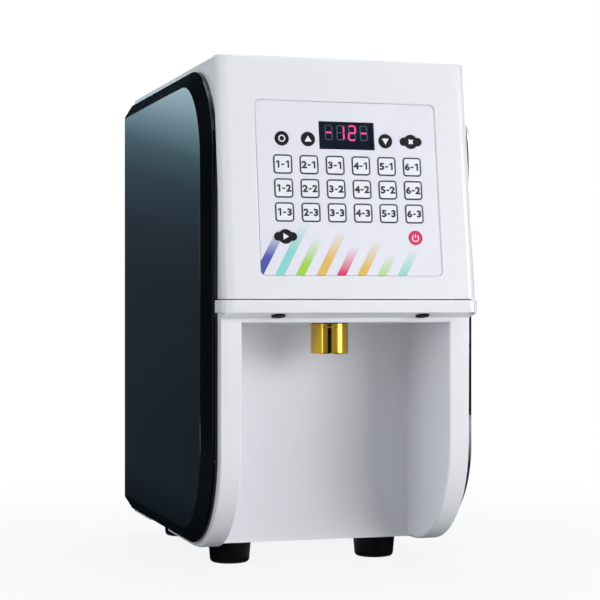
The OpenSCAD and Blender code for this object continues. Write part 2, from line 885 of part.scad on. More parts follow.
module lid_pins() {
    l = barrel_w + 2 * (ear_gap + ear_w);
    color(steel)
        for (s = [-1, 1])
            translate([s * hinge_x, hinge_y, hinge_z]) rotate([0, 90, 0])
                cylinder(r = pin_d / 2, h = l, center = true);
}

// Auger, agitator and gears

module auger() {
    l = flight_y1 - flight_y0;
    turn = 360 * l / auger_pitch;
    color(steel) {
        rod_y(shaft_r, flight_y0 - overlap, shaft_end, auger_z);
        translate([0, flight_y1, auger_z]) rotate([90, 0, 0])
            linear_extrude(l, twist = turn, slices = ceil(l / flight_step), $fn = flight_sides)
                square([auger_d, flight_t], center = true);
    }
}

module agitator() {
    step = (hop_y1 - hop_y0) / (rod_count + 1);
    color(steel) {
        rod_y(shaft_r, hop_y0 - 2 * bush_flange_t, shaft_end, agitator_z);
        for (i = [1:rod_count])
            translate([0, hop_y0 + i * step, agitator_z]) rotate([0, i * 180 / rod_count, 0])
                cylinder(r = rod_r, h = 2 * rod_l, center = true);
    }
}

// Involute gear outline with its first tooth at the top
pressure = 20;
backlash = 0.12;
flank_steps = 3;
tooth_root = 1.2;
tooth_tip = 0.9;
function polar(r, a) = [r * cos(a), r * sin(a)];
function involute(a) = tan(a) * 180 / PI - a;
function tooth_half(n, r) = let (rp = gear_m * n / 2, rb = rp * cos(pressure))
    90 / n - backlash / rp * 180 / PI + involute(pressure) - (r > rb ? involute(acos(rb / r)) : 0);
function gear_points(n) = let (
        rp = gear_m * n / 2,
        rb = rp * cos(pressure),
        root = rp - tooth_root * gear_m,
        low = max(rb, root),
        tip = rp + tooth_tip * gear_m,
        radii = concat([root], [for (i = [0:flank_steps]) low + (tip - low) * i / flank_steps]))
    [for (t = [0:n - 1]) let (a = 90 - t * 360 / n) each concat(
        [for (r = radii) polar(r, a + tooth_half(n, r))],
        [for (i = [len(radii) - 1:-1:0]) polar(radii[i], a - tooth_half(n, radii[i]))])];

module gear(n, z, turn, bore) {
    hub_r = bore + 4;
    hub = 1.5;
    translate([0, gear_y + gear_t, z]) rotate([90, 0, 0]) difference() {
        union() {
            linear_extrude(gear_t) rotate(turn) polygon(gear_points(n));
            translate([0, 0, -hub]) cylinder(r = hub_r, h = gear_t + 2 * hub);
        }
        translate([0, 0, -2 * hub]) cylinder(r = bore, h = gear_t + 4 * hub);
    }
}

module auger_gear() {
    color("#d8d2c4") gear(auger_teeth, auger_z, 0, shaft_r + running / 2);
}

module agitator_gear() {
    color("#d8d2c4") gear(agitator_teeth, agitator_z, 180 / agitator_teeth, shaft_r + running / 2);
}

module motor_pinion() {
    end = plate_y + plate_t + motor_l - motor_floor - overlap;
    color(steel) translate([0, gear_y + gear_t, motor_z]) rotate([90, 0, 0]) {
        linear_extrude(gear_t) rotate(180 / pinion_teeth) polygon(gear_points(pinion_teeth));
        translate([0, 0, gear_y + gear_t - end]) cylinder(r = pinion_shaft_r, h = end - gear_y);
    }
}

module gear_motor() {
    y0 = plate_y + plate_t;
    color("#5a5f63") difference() {
        union() {
            rod_y(motor_r, y0, y0 + motor_l, motor_z);
            rod_y(motor_can_r, y0 + motor_l - overlap, y0 + motor_l + motor_can_l, motor_z);
        }
        rod_y(pinion_shaft_r + running, y0 - overlap, y0 + motor_l - motor_floor, motor_z);
    }
}

module gear_plate() {
    z0 = motor_z - motor_r - spacer_r;
    z1 = spacer_zs[1] + 2 * spacer_r;
    color(steel) difference() {
        union() {
            translate([-plate_half, plate_y, z0]) cube([2 * plate_half, plate_t, z1 - z0]);
            for (s = [-1, 1], z = spacer_zs)
                rod_y(spacer_r, hop_y1, plate_y + overlap, z, s * spacer_x);
        }
        for (z = [auger_z, agitator_z])
            rod_y(bush_r + press, plate_y - overlap, plate_y + plate_t + overlap, z);
        rod_y(2 * pinion_shaft_r, plate_y - overlap, plate_y + plate_t + overlap, motor_z);
    }
}

// A bush whose flange lies against a wall at y, behind it where s is 1 and ahead where s is -1
module bush(y, z, s) {
    translate([0, y, z]) rotate([-90 * s, 0, 0]) difference() {
        union() {
            translate([0, 0, bush_flange_t - bush_l]) cylinder(r = bush_r, h = bush_l);
            cylinder(r = bush_flange_r, h = bush_flange_t);
        }
        cylinder(r = shaft_r + running, h = 4 * bush_l, center = true);
    }
}

module shaft_bushes() {
    color(gold) {
        bush(hop_y1, auger_z, 1);
        bush(plate_y, auger_z, -1);
        bush(hop_y0, agitator_z, -1);
        bush(hop_y1, agitator_z, 1);
        bush(plate_y, agitator_z, -1);
    }
}

// Outlet

module outlet_elbow() {
    out_r = trough_r + elbow_wall;
    drop_r = neck_r + elbow_wall;
    flange = 2 * (out_r + elbow_rim);
    color(white) difference() {
        union() {
            rod_y(out_r, elbow_y0 - elbow_wall, hop_y0, auger_z);
            translate([0, nozzle_y, bay_deck]) cylinder(r = drop_r, h = auger_z - bay_deck);
            translate([0, nozzle_y, bay_deck]) cylinder(r = drop_r + elbow_rim, h = elbow_flange);
            along(hop_y0 - elbow_flange, hop_y0) translate([0, auger_z]) rounded(flange, flange, elbow_rim);
        }
        rod_y(trough_r, elbow_y0, hop_y0 + overlap, auger_z);
        translate([0, nozzle_y, bay_deck]) cylinder(r = nozzle_bore, h = auger_z - bay_deck);
        translate([0, nozzle_y, bay_deck - overlap])
            cylinder(r = neck_r + press, h = neck_l + overlap + fit);
    }
}

module nozzle() {
    ring = 0.5;
    ring_z0 = nozzle_top - 3.9;
    ring_z1 = nozzle_top - 2.2;
    chamfer = 0.8;
    color(gold) translate([0, nozzle_y, 0]) rotate_extrude() polygon([
        [nozzle_bore, nozzle_low], [nozzle_r - chamfer, nozzle_low], [nozzle_r, nozzle_low + chamfer],
        [nozzle_r, ring_z0], [nozzle_r + ring, ring_z0], [nozzle_r + ring, ring_z1],
        [nozzle_r, ring_z1], [nozzle_r, nozzle_top], [neck_r, nozzle_top], [neck_r, neck_top],
        [nozzle_bore, neck_top]]);
}

module nozzle_gasket() {
    color(rubber) translate([0, nozzle_y, nozzle_top]) difference() {
        cylinder(r = nozzle_r - 0.5, h = gasket_t);
        translate([0, 0, -overlap]) cylinder(r = neck_r + fit, h = gasket_t + 2 * overlap);
    }
}

module power_supply() {
    color(steel) {
        translate([-supply_w / 2, supply_y, z_base + pan_t]) cube([supply_w, supply_l, supply_h]);
        translate([terminal_in - supply_w / 2, supply_y + supply_l - overlap, z_base + pan_t])
            cube([supply_w - 2 * terminal_in, terminal_l, supply_h / 2]);
    }
}

// Keypad

module key_shape(kind, grow) {
    if (kind == "square")
        rounded(key_size + 2 * grow, key_size + 2 * grow, key_r + grow);
    else
        circle(round_r + grow);
    if (kind == "tab")
        rounded(tab_l + 2 * grow, tab_h + 2 * grow, tab_h / 2 + grow - end_flat);
}

module key(k) {
    stem_end = switch_top - key_travel - switch_room;
    tip = stem_end + switch_bore;
    color(white) on_panel(k[1]) {
        translate([0, 0, -cap_low]) linear_extrude(cap_low - cap_top) key_shape(k[2], 0);
        translate([0, 0, -stem_end]) cylinder(r = stem_r, h = stem_end - cap_low + overlap / 2);
        translate([0, 0, -tip]) cylinder(r = tip_r, h = tip - stem_end + overlap / 2);
    }
}

module keypad_overlay() {
    color("#e6e5f0") difference() {
        on_panel([0, board_mid]) translate([0, 0, -floor_in]) linear_extrude(overlay_t)
            rounded(recess_w - 2 * fit, recess_h - 2 * fit, recess_r - fit);
        for (k = KEYS)
            on_panel(k[1]) linear_extrude(4 * floor_in, center = true) key_shape(k[2], fit);
        on_panel([0, window_s]) cube([window_w + fit, window_h + fit, 4 * floor_in], center = true);
    }
}

module display_window() {
    color("#3a1820") on_panel([0, window_s]) translate([-window_w / 2, -window_h / 2, -floor_in])
        cube([window_w, window_h, window_t]);
}

module display_module() {
    w = window_w - 2 * window_rest - 1;
    color(black) on_panel([0, window_s]) translate([-w / 2, -module_h / 2, -board_face])
        cube([w, module_h, board_face - floor_in - fit]);
}

module control_board() {
    // Components on the rear of the board: middle and size
    parts = [[[-40, -30], [34, 26, 9]], [[30, -34], [40, 18, 11]], [[-30, 20], [22, 22, 4]],
             [[35, 25], [30, 14, 8]]];
    color("#2f6b46") difference() {
        on_panel([0, board_mid]) translate([0, 0, -board_face - board_t]) {
            translate([-board_w / 2, -board_h / 2, 0]) cube([board_w, board_h, board_t]);
            for (p = parts)
                translate([p[0][0] - p[1][0] / 2, p[0][1] - p[1][1] / 2, -p[1][2]])
                    cube(p[1] + [0, 0, board_t / 2]);
        }
        board_corners() translate([0, 0, -board_face - 2 * board_t])
            cylinder(r = screw_r + screw_room, h = 3 * board_t);
    }
}

module tact_switches() {
    color(black)
        for (k = KEYS)
            on_panel(k[1]) translate([0, 0, -board_face]) difference() {
                translate([-switch_side / 2, -switch_side / 2, 0])
                    cube([switch_side, switch_side, switch_h]);
                translate([0, 0, switch_h - switch_bore])
                    cylinder(r = tip_r + running, h = switch_bore + overlap);
            }
}

// Fasteners

// Screws that show: the rear cover's and the power inlet's
module case_screws() {
    color(steel) {
        cover_screw_places() screw(2 * wall);
        for (s = [-1, 1])
            on_rear(inlet_x + s * inlet_screw_x, inlet_z) translate([0, 0, inlet_flange])
                flush_screw(inlet_flange + wall, 0);
    }
}

// Screws inside: side panels, head tongues, control board and feet
module inner_screws() {
    color(steel) {
        panel_screw_places() screw(wall + panel_grip);
        tongue_screw_places() screw(wall + tongue_t);
        board_corners() translate([0, 0, -board_face - board_t]) rotate([180, 0, 0])
            screw(board_t + board_grip);
        for (p = foot_places())
            translate([p[0], p[1], z_base + pan_t]) screw(pan_t + foot_grip);
    }
}

place() base_pan();
place() main_housing();
place() front_frame();
place() head_cover();
place() left_side_panel();
place() right_side_panel();
place() rear_cover();
place() top_lid();
place() lid_seal();
place() lid_pins();
place() hopper();
place() auger();
place() agitator();
place() auger_gear();
place() agitator_gear();
place() motor_pinion();
place() gear_motor();
place() gear_plate();
place() shaft_bushes();
place() outlet_elbow();
place() nozzle();
place() nozzle_gasket();
place() power_supply();
place() power_inlet();
place() switch_body();
place() switch_rocker();
place() feet();
place() ledge_plugs();
place() keypad_overlay();
place() display_window();
place() display_module();
place() control_board();
place() tact_switches();
place() case_screws();
place() inner_screws();
for (k = KEYS)
    place() key(k);
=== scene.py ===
import json
import math

import bmesh
import bpy
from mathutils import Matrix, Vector

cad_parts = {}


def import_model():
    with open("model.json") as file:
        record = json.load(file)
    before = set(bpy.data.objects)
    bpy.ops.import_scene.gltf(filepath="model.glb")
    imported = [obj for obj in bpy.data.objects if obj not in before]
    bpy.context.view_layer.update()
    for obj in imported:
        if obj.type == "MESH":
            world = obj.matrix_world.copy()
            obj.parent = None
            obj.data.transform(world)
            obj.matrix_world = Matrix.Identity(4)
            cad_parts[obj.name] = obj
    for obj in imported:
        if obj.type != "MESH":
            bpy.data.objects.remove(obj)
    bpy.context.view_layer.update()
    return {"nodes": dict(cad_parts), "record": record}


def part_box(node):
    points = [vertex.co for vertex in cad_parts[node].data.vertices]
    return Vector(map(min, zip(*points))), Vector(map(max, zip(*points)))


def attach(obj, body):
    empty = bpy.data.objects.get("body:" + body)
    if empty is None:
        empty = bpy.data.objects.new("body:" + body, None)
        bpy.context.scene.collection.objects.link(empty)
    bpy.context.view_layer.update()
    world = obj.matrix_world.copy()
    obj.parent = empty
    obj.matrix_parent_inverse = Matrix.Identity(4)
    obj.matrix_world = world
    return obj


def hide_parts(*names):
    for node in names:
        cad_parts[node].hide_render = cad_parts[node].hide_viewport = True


# Looks of a countertop powder dispenser: moulded shells, a printed keypad, a brass nozzle and a studio
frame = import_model()

# Sizes in metres, in the part's own frame
MM = 0.001
HALF_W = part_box("rear_cover")[1].x + 3.3 * MM
TOP_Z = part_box("head_cover")[1].z
SEAM_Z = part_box("front_frame")[1].z
LEDGE_Z = SEAM_Z - 12 * MM
BASE_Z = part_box("front_frame")[0].z
FRONT_Y = -194.75 * MM
REAR_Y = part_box("rear_cover")[1].y
BAY_HALF = 102.7 * MM
BAY_TOP = 242.5 * MM
BAY_BACK = FRONT_Y + 116 * MM
CHEEK_R = 104 * MM
NOZZLE_Y = FRONT_Y + 57 * MM
SOCKET_X = 60 * MM
SOCKET_Z = 83 * MM
FLANGE_Y = REAR_Y + 2.5 * MM
NEAR = 0.04 * MM

# The head's leaning front face
LEAN = math.radians(8.2)
FACE_FOOT = Vector((0, FRONT_Y - 20 * MM, SEAM_Z))
FACE_UP = Vector((0, math.sin(LEAN), math.cos(LEAN)))
FACE_OUT = Vector((0, -math.cos(LEAN), math.sin(LEAN)))
FACE_TURN = (math.pi / 2 - LEAN, 0, 0)
HEAD_CORNER = 11 * MM
HEAD_HALF = HALF_W + 1.5 * MM
CAP_IN = 0.7 * MM
KEY_COLUMNS = [(c - 3.5) * 25.6 * MM for c in range(1, 7)]
KEY_ROWS = [(128 - 22.7 * r) * MM for r in range(3)]
UPPER_KEYS = 152.6 * MM
LOWER_KEYS = 59.6 * MM
WINDOW_S = 156.8 * MM
SEGMENTS_OUT = -2.35 * MM


def on_face(x, s, out=0.0):
    """The point at x across and s up the head's front face, a given way out of it."""
    return FACE_FOOT + Vector((x, 0, 0)) + s * FACE_UP + out * FACE_OUT


def face_place(point):
    """How far a point lies across, up and out of the head's front face."""
    away = point - FACE_FOOT
    return point.x, away.dot(FACE_UP), away.dot(FACE_OUT)


# Selecting and shaping

def deselect():
    bpy.ops.object.select_all(action="DESELECT")


def select_mesh():
    """In edit mode, selects the whole mesh."""
    bpy.ops.mesh.select_all(action="SELECT")


def only(piece):
    """Leaves one piece selected and active."""
    deselect()
    piece.select_set(True)
    bpy.context.view_layer.objects.active = piece


def edit(piece):
    only(piece)
    bpy.ops.object.mode_set(mode="EDIT")


def leave():
    bpy.ops.object.mode_set(mode="OBJECT")


def pick(piece, kind, likes):
    """In edit mode, selects the vertices, edges or faces that a test likes."""
    bpy.ops.mesh.select_mode(type=kind)
    bpy.ops.mesh.select_all(action="DESELECT")
    shape = bmesh.from_edit_mesh(piece.data)
    for part in {"VERT": shape.verts, "EDGE": shape.edges, "FACE": shape.faces}[kind]:
        if likes(part):
            part.select_set(True)
    shape.select_flush_mode()
    bmesh.update_edit_mesh(piece.data)


def round_edges(piece, width, likes, segments=3):
    """Rounds the sharp edges whose two end points a test likes."""
    def wanted(edge):
        if edge.calc_face_angle(0) < math.radians(20):
            return False
        return likes(edge.verts[0].co) and likes(edge.verts[1].co)
    edit(piece)
    pick(piece, "EDGE", wanted)
    bpy.ops.mesh.bevel(offset=width, offset_type="OFFSET", segments=segments, profile=0.5,
                       affect="EDGES", clamp_overlap=False)
    leave()


def named(piece, name):
    piece.name = name
    piece.data.name = name
    return piece


def settle(piece):
    """Puts the place, turn and size of an object into its mesh."""
    only(piece)
    bpy.ops.object.transform_apply(location=True, rotation=True, scale=True)
    return piece


def smooth(piece, angle=40):
    """Smooth shading that keeps flat faces flat and sharp edges sharp."""
    only(piece)
    bpy.ops.object.shade_smooth_by_angle(angle=math.radians(angle))
    weighted = piece.modifiers.new("weighted", "WEIGHTED_NORMAL")
    weighted.keep_sharp = True
    bpy.ops.object.modifier_apply(modifier=weighted.name)


def hand_over(piece, body, slot, material, *nodes):
    """Gives a piece its finish, hangs it under the empty of the body it rides on, and hides the imported
    nodes it stands for.
    """
    if material is not None:
        piece.data.materials.clear()
        piece.data.materials.append(material)
    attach(piece, body)
    if nodes:
        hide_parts(*nodes)


def copy_of(node, name):
    """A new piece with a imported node's shape, its triangles merged to flat faces."""
    piece = bpy.data.objects.new(name, frame["nodes"][node].data.copy())
    piece.data.name = name
    bpy.context.scene.collection.objects.link(piece)
    piece.data.materials.clear()
    edit(piece)
    bpy.ops.mesh.customdata_custom_splitnormals_clear()
    select_mesh()
    bpy.ops.mesh.remove_doubles(threshold=0.002 * MM)
    bpy.ops.mesh.dissolve_limited(angle_limit=math.radians(0.5))
    leave()
    return piece


def slab(name, low, high):
    """A block between two corners."""
    low, high = Vector(low), Vector(high)
    deselect()
    bpy.ops.mesh.primitive_cube_add(size=1, location=(low + high) / 2, scale=high - low)
    return settle(named(bpy.context.object, name))


def turned(name, rings, axis=(0, 0, 0), turn=(0, 0, 0), sides=64, closed=False):
    """A piece turned on a lathe: rings of (radius, height), capped at both ends or closed on itself."""
    deselect()
    radius, height = rings[0]
    fill = "NOTHING" if closed else "NGON"
    bpy.ops.mesh.primitive_circle_add(vertices=sides, radius=radius, fill_type=fill,
                                      location=(0, 0, height))
    piece = settle(named(bpy.context.object, name))
    edit(piece)
    select_mesh()
    for new_radius, new_height in rings[1:]:
        bpy.ops.mesh.extrude_region_move(TRANSFORM_OT_translate={"value": (0, 0, new_height - height)})
        ratio = new_radius / radius
        bpy.ops.transform.resize(value=(ratio, ratio, 1), center_override=(0, 0, new_height))
        radius, height = new_radius, new_height
    if closed:
        pick(piece, "EDGE", lambda edge: edge.is_boundary)
        bpy.ops.mesh.bridge_edge_loops()
    select_mesh()
    bpy.ops.mesh.normals_make_consistent(inside=False)
    leave()
    piece.location = axis
    piece.rotation_euler = turn
    return settle(piece)


def twin(piece, name, shift):
    """A copy with its own mesh, moved by a shift."""
    copy = bpy.data.objects.new(name, piece.data.copy())
    copy.data.name = name
    bpy.context.scene.collection.objects.link(copy)
    copy.location = shift
    return settle(copy)


def join(parts, name):
    """Joins pieces to one, which keeps each one's finish."""
    deselect()
    for part in parts:
        part.select_set(True)
    bpy.context.view_layer.objects.active = parts[0]
    bpy.ops.object.join()
    return named(parts[0], name)


# Shader helpers

def put(tree, kind, inputs=None, **settings):
    """Adds a shader node. An input given as a socket is linked, any other is set."""
    made = tree.nodes.new("ShaderNode" + kind)
    for name, value in settings.items():
        setattr(made, name, value)
    for name, value in (inputs or {}).items():
        if isinstance(value, bpy.types.NodeSocket):
            tree.links.new(value, made.inputs[name])
        else:
            made.inputs[name].default_value = value
    return made


def math_node(tree, operation, first, second=0.0):
    return put(tree, "Math", {0: first, 1: second}, operation=operation).outputs[0]


def mixed(tree, factor, first, second):
    """A colour between two colours."""
    mix = put(tree, "Mix", data_type="RGBA")
    for socket, value in ((mix.inputs["Factor"], factor), (mix.inputs[6], first), (mix.inputs[7], second)):
        if isinstance(value, bpy.types.NodeSocket):
            tree.links.new(value, socket)
        else:
            socket.default_value = value
    return mix.outputs[2]


def color_stops(ramp, stops):
    """Sets the stops of a colour ramp, each a position and a colour."""
    elements = ramp.color_ramp.elements
    for number, (position, color) in enumerate(stops):
        stop = elements[number] if number < 2 else elements.new(position)
        stop.position = position
        stop.color = color


def rgb(red, green, blue):
    """A colour from its usual screen values of 0 to 255."""
    def linear(value):
        share = value / 255
        return share / 12.92 if share <= 0.04045 else ((share + 0.055) / 1.055) ** 2.4
    return linear(red), linear(green), linear(blue), 1.0


def new_group(name, inputs, outputs):
    """A shader node group with named sockets, and its two end nodes."""
    group = bpy.data.node_groups.new(name, "ShaderNodeTree")
    for label, kind, value in inputs:
        socket = group.interface.new_socket(label, in_out="INPUT", socket_type="NodeSocket" + kind)
        socket.default_value = value
    for label, kind in outputs:
        group.interface.new_socket(label, in_out="OUTPUT", socket_type="NodeSocket" + kind)
    return group, group.nodes.new("NodeGroupInput"), group.nodes.new("NodeGroupOutput")


def moulded_surface_group():
    """Slow colour and gloss variation with a fine grain, for moulded and painted surfaces."""
    group, start, end = new_group(
        "moulded_surface",
        [("Color", "Color", (1, 1, 1, 1)), ("Patch Color", "Color", (1, 1, 1, 1)),
         ("Roughness", "Float", 0.4), ("Roughness Spread", "Float", 0.1),
         ("Patch Scale", "Float", 20.0), ("Grain Scale", "Float", 900.0)],
        [("Color", "Color"), ("Roughness", "Float"), ("Height", "Float")])
    place = put(group, "TexCoord").outputs["Object"]
    patches = put(group, "TexNoise", {"Vector": place, "Scale": start.outputs["Patch Scale"],
                                      "Detail": 4.0, "Roughness": 0.6}).outputs["Fac"]
    grain = put(group, "TexNoise", {"Vector": place, "Scale": start.outputs["Grain Scale"],
                                    "Detail": 2.0}).outputs["Fac"]
    color = mixed(group, patches, start.outputs["Color"], start.outputs["Patch Color"])
    swing = math_node(group, "MULTIPLY", math_node(group, "SUBTRACT", patches, 0.5),
                      start.outputs["Roughness Spread"])
    group.links.new(color, end.inputs["Color"])
    group.links.new(math_node(group, "ADD", start.outputs["Roughness"], swing), end.inputs["Roughness"])
    group.links.new(grain, end.inputs["Height"])
    return group


def drawn_lines_group():
    """Fine parallel lines along one direction, for brushed sheet and turned metal."""
    group, start, end = new_group(
        "drawn_lines",
        [("Color", "Color", (1, 1, 1, 1)), ("Line Color", "Color", (1, 1, 1, 1)),
         ("Roughness", "Float", 0.3), ("Roughness Spread", "Float", 0.2),
         ("Stretch", "Vector", (1, 1, 1))],
        [("Color", "Color"), ("Roughness", "Float"), ("Height", "Float")])
    place = put(group, "TexCoord").outputs["Object"]
    drawn = put(group, "VectorMath", {0: place, 1: start.outputs["Stretch"]}, operation="MULTIPLY")
    lines = put(group, "TexNoise", {"Vector": drawn.outputs[0], "Scale": 1.0, "Detail": 5.0,
                                    "Roughness": 0.7}).outputs["Fac"]
    color = mixed(group, lines, start.outputs["Color"], start.outputs["Line Color"])
    swing = math_node(group, "MULTIPLY", math_node(group, "SUBTRACT", lines, 0.5),
                      start.outputs["Roughness Spread"])
    group.links.new(color, end.inputs["Color"])
    group.links.new(math_node(group, "ADD", start.outputs["Roughness"], swing), end.inputs["Roughness"])
    group.links.new(lines, end.inputs["Height"])
    return group


MOULDED = moulded_surface_group()
DRAWN = drawn_lines_group()


def finish(name, group, group_inputs, bump=(0.1, 0.05 * MM), **shader_inputs):
    """A material whose colour, roughness and relief come from one of the surface groups."""
    material = bpy.data.materials.new(name)
    material.use_nodes = True
    tree = material.node_tree
    shader = tree.nodes["Principled BSDF"]
    for label, value in shader_inputs.items():
        shader.inputs[label.replace("_", " ")].default_value = value
    surface = tree.nodes.new("ShaderNodeGroup")
    surface.node_tree = group
    for label, value in group_inputs.items():
        surface.inputs[label].default_value = value
    strength, distance = bump
    relief = put(tree, "Bump", {"Strength": strength, "Distance": distance,
                                "Height": surface.outputs["Height"]})
    tree.links.new(surface.outputs["Color"], shader.inputs["Base Color"])
    tree.links.new(surface.outputs["Roughness"], shader.inputs["Roughness"])
    tree.links.new(relief.outputs["Normal"], shader.inputs["Normal"])
    return material


def moulded(name, color, patch, roughness, spread, patch_scale=14.0, grain=900.0, **more):
    return finish(name, MOULDED, {"Color": color, "Patch Color": patch, "Roughness": roughness,
                                  "Roughness Spread": spread, "Patch Scale": patch_scale,
                                  "Grain Scale": grain}, **more)


def drawn_metal(name, color, line, roughness, spread, stretch, **more):
    return finish(name, DRAWN, {"Color": color, "Line Color": line, "Roughness": roughness,
                                "Roughness Spread": spread, "Stretch": stretch}, Metallic=1.0, **more)


# Finishes, by the record's slot names

def slot_finishes():
    return {
        "white_shell": moulded("white_shell", rgb(233, 232, 237), rgb(229, 229, 234), 0.3, 0.08,
                               bump=(0.05, 0.05 * MM), Coat_Weight=0.25, Coat_Roughness=0.12),
        "black_gloss": moulded("black_gloss", rgb(9, 11, 13), rgb(12, 14, 16), 0.14, 0.05, 9.0, 1400.0,
                               bump=(0.02, 0.03 * MM), Specular_IOR_Level=0.0, Coat_Weight=1.0,
                               Coat_Roughness=0.05),
        "sheet_steel": drawn_metal("sheet_steel", rgb(184, 187, 190), rgb(205, 207, 209), 0.3, 0.16,
                                   (40, 900, 40), bump=(0.08, 0.03 * MM)),
        "painted_steel": moulded("painted_steel", rgb(226, 226, 230), rgb(221, 221, 226), 0.5, 0.1, 10.0,
                                 1100.0, bump=(0.25, 0.08 * MM)),
        "gold_brass": drawn_metal("gold_brass", rgb(216, 171, 58), rgb(228, 188, 82), 0.12, 0.06,
                                  (30, 30, 1600), bump=(0.05, 0.02 * MM)),
        "rubber": moulded("rubber", rgb(8, 10, 12), rgb(13, 15, 17), 0.5, 0.14, 60.0, 2200.0,
                          bump=(0.3, 0.06 * MM), Specular_IOR_Level=0.06),
        "gear_plastic": moulded("gear_plastic", rgb(222, 214, 196), rgb(213, 204, 184), 0.42, 0.1),
        "motor_grey": moulded("motor_grey", rgb(84, 88, 92), rgb(76, 80, 84), 0.38, 0.12),
        "black_plastic": moulded("black_plastic", rgb(24, 24, 26), rgb(30, 30, 32), 0.45, 0.12, 40.0, 1800.0,
                                 bump=(0.25, 0.05 * MM)),
        "rocker_plastic": moulded("rocker_plastic", rgb(22, 22, 24), rgb(27, 27, 29), 0.26, 0.08, 60.0),
        "board_green": moulded("board_green", rgb(34, 92, 58), rgb(26, 78, 50), 0.36, 0.1, 90.0),
        "keypad_film": printed_film(),
        "key_film": moulded("key_film", rgb(238, 238, 244), rgb(233, 233, 240), 0.32, 0.06, 60.0, 2600.0,
                            bump=(0.06, 0.02 * MM)),
        "key_black": moulded("key_black", rgb(22, 24, 30), rgb(28, 30, 37), 0.34, 0.08, 90.0, 2600.0,
                             bump=(0.06, 0.02 * MM), Specular_IOR_Level=0.3),
        "key_magenta": moulded("key_magenta", rgb(222, 30, 104), rgb(214, 24, 96), 0.32, 0.06, 90.0, 2600.0,
                               bump=(0.06, 0.02 * MM)),
        "display_tint": window_glass(),
    }


def window_glass():
    """Faintly red glass over the digits, with faint gloss patches."""
    return moulded("display_tint", rgb(205, 194, 202), rgb(198, 186, 194), 0.05, 0.03, 60.0, 2000.0,
                   bump=(0.02, 0.01 * MM), Transmission_Weight=1.0, IOR=1.3)


def printed_film():
    """Pale film with slanted colour bars that rise from its lower edge and fade out."""
    material = moulded("keypad_film", rgb(231, 230, 240), rgb(226, 225, 236), 0.34, 0.06, 30.0, 2600.0,
                       bump=(0.06, 0.02 * MM))
    colors = [rgb(75, 85, 170), rgb(140, 210, 205), rgb(160, 210, 70), rgb(225, 185, 95),
              rgb(220, 30, 100), rgb(225, 185, 95), rgb(160, 210, 70), rgb(140, 210, 205)]
    start, foot, pitch, fade, slant = -96 * MM, 23 * MM, 20 * MM, 26 * MM, 0.55
    bar_share, tall, drop, odd_extra = 0.45, 44 * MM, 4 * MM, 10 * MM
    tree = material.node_tree
    shader = tree.nodes["Principled BSDF"]
    film = shader.inputs["Base Color"].links[0].from_socket
    place = put(tree, "TexCoord").outputs["Object"]
    flat = put(tree, "Mapping", {"Vector": place, "Location": FACE_FOOT, "Rotation": FACE_TURN},
               vector_type="TEXTURE")
    parts = put(tree, "SeparateXYZ", {0: flat.outputs[0]})
    rise = math_node(tree, "SUBTRACT", parts.outputs["Y"], foot)
    slid = math_node(tree, "SUBTRACT", parts.outputs["X"], math_node(tree, "MULTIPLY", rise, slant))
    steps = math_node(tree, "DIVIDE", math_node(tree, "SUBTRACT", slid, start), pitch)
    index = math_node(tree, "FLOOR", steps)
    in_bar = math_node(tree, "LESS_THAN", math_node(tree, "FRACT", steps), bar_share)
    in_row = math_node(tree, "MULTIPLY", math_node(tree, "GREATER_THAN", steps, 0.0),
                       math_node(tree, "LESS_THAN", steps, float(len(colors))))
    odd = math_node(tree, "MULTIPLY", math_node(tree, "MODULO", index, 2.0), odd_extra)
    top = math_node(tree, "ADD", odd, math_node(tree, "SUBTRACT", tall,
                                                math_node(tree, "MULTIPLY", index, drop)))
    left = math_node(tree, "DIVIDE", math_node(tree, "SUBTRACT", top, rise), fade)
    strength = put(tree, "Clamp", {"Value": left}).outputs[0]
    mask = math_node(tree, "MULTIPLY", math_node(tree, "MULTIPLY", in_bar, in_row), strength)
    ramp = put(tree, "ValToRGB", {0: math_node(tree, "DIVIDE", math_node(tree, "ADD", index, 0.5),
                                               float(len(colors)))})
    ramp.color_ramp.interpolation = "CONSTANT"
    color_stops(ramp, [(number / len(colors), color) for number, color in enumerate(colors)])
    tree.links.new(mixed(tree, mask, film, ramp.outputs["Color"]), shader.inputs["Base Color"])
    return material


def glowing(name, color, patch, strength):
    """A surface that glows in its own colour, slightly uneven: the lit segments truly glow, while on the
    unlit segments and the display's face the glow is painted light.
    """
    material = moulded(name, color, patch, 0.4, 0.1, 150.0, 2600.0, Emission_Strength=strength)
    tree = material.node_tree
    shader = tree.nodes["Principled BSDF"]
    color_from = shader.inputs["Base Color"].links[0].from_socket
    tree.links.new(color_from, shader.inputs["Emission Color"])
    return material


def print_finishes():
    """Inks, lit segments, and the painted glows of the unlit segments and the display's face, which no slot
    of the record stands for.
    """
    return {
        "outline": moulded("outline_ink", rgb(58, 64, 76), rgb(50, 56, 68), 0.4, 0.1, 120.0, 2600.0),
        "digit": moulded("digit_ink", rgb(26, 31, 50), rgb(20, 25, 42), 0.4, 0.1, 120.0, 2600.0),
        "pale": moulded("pale_ink", rgb(240, 240, 244), rgb(232, 232, 238), 0.4, 0.1, 120.0, 2600.0),
        "lit": glowing("lit_segment", rgb(248, 94, 172), rgb(242, 82, 160), 1.9),
        # The unlit segments glow faintly: painted light, which shows them as grey marks behind the glass.
        "unlit": glowing("unlit_segment_painted_glow", rgb(112, 132, 134), rgb(98, 118, 120), 0.9),
        # The display's face glows faintly: a painted glow that stands in for the light the tinted glass keeps
        # off it.
        "display": glowing("display_black_painted_glow", rgb(22, 36, 50), rgb(28, 42, 58), 0.8),
    }


FINISH = slot_finishes()
PRINT = print_finishes()


def dress_nodes():
    """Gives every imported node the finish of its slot."""
    for row in frame["record"]["subparts"]:
        node = frame["nodes"][row["node"]]
        node.data.materials.clear()
        node.data.materials.append(FINISH[row["material_slot"]])


# Moulded shells

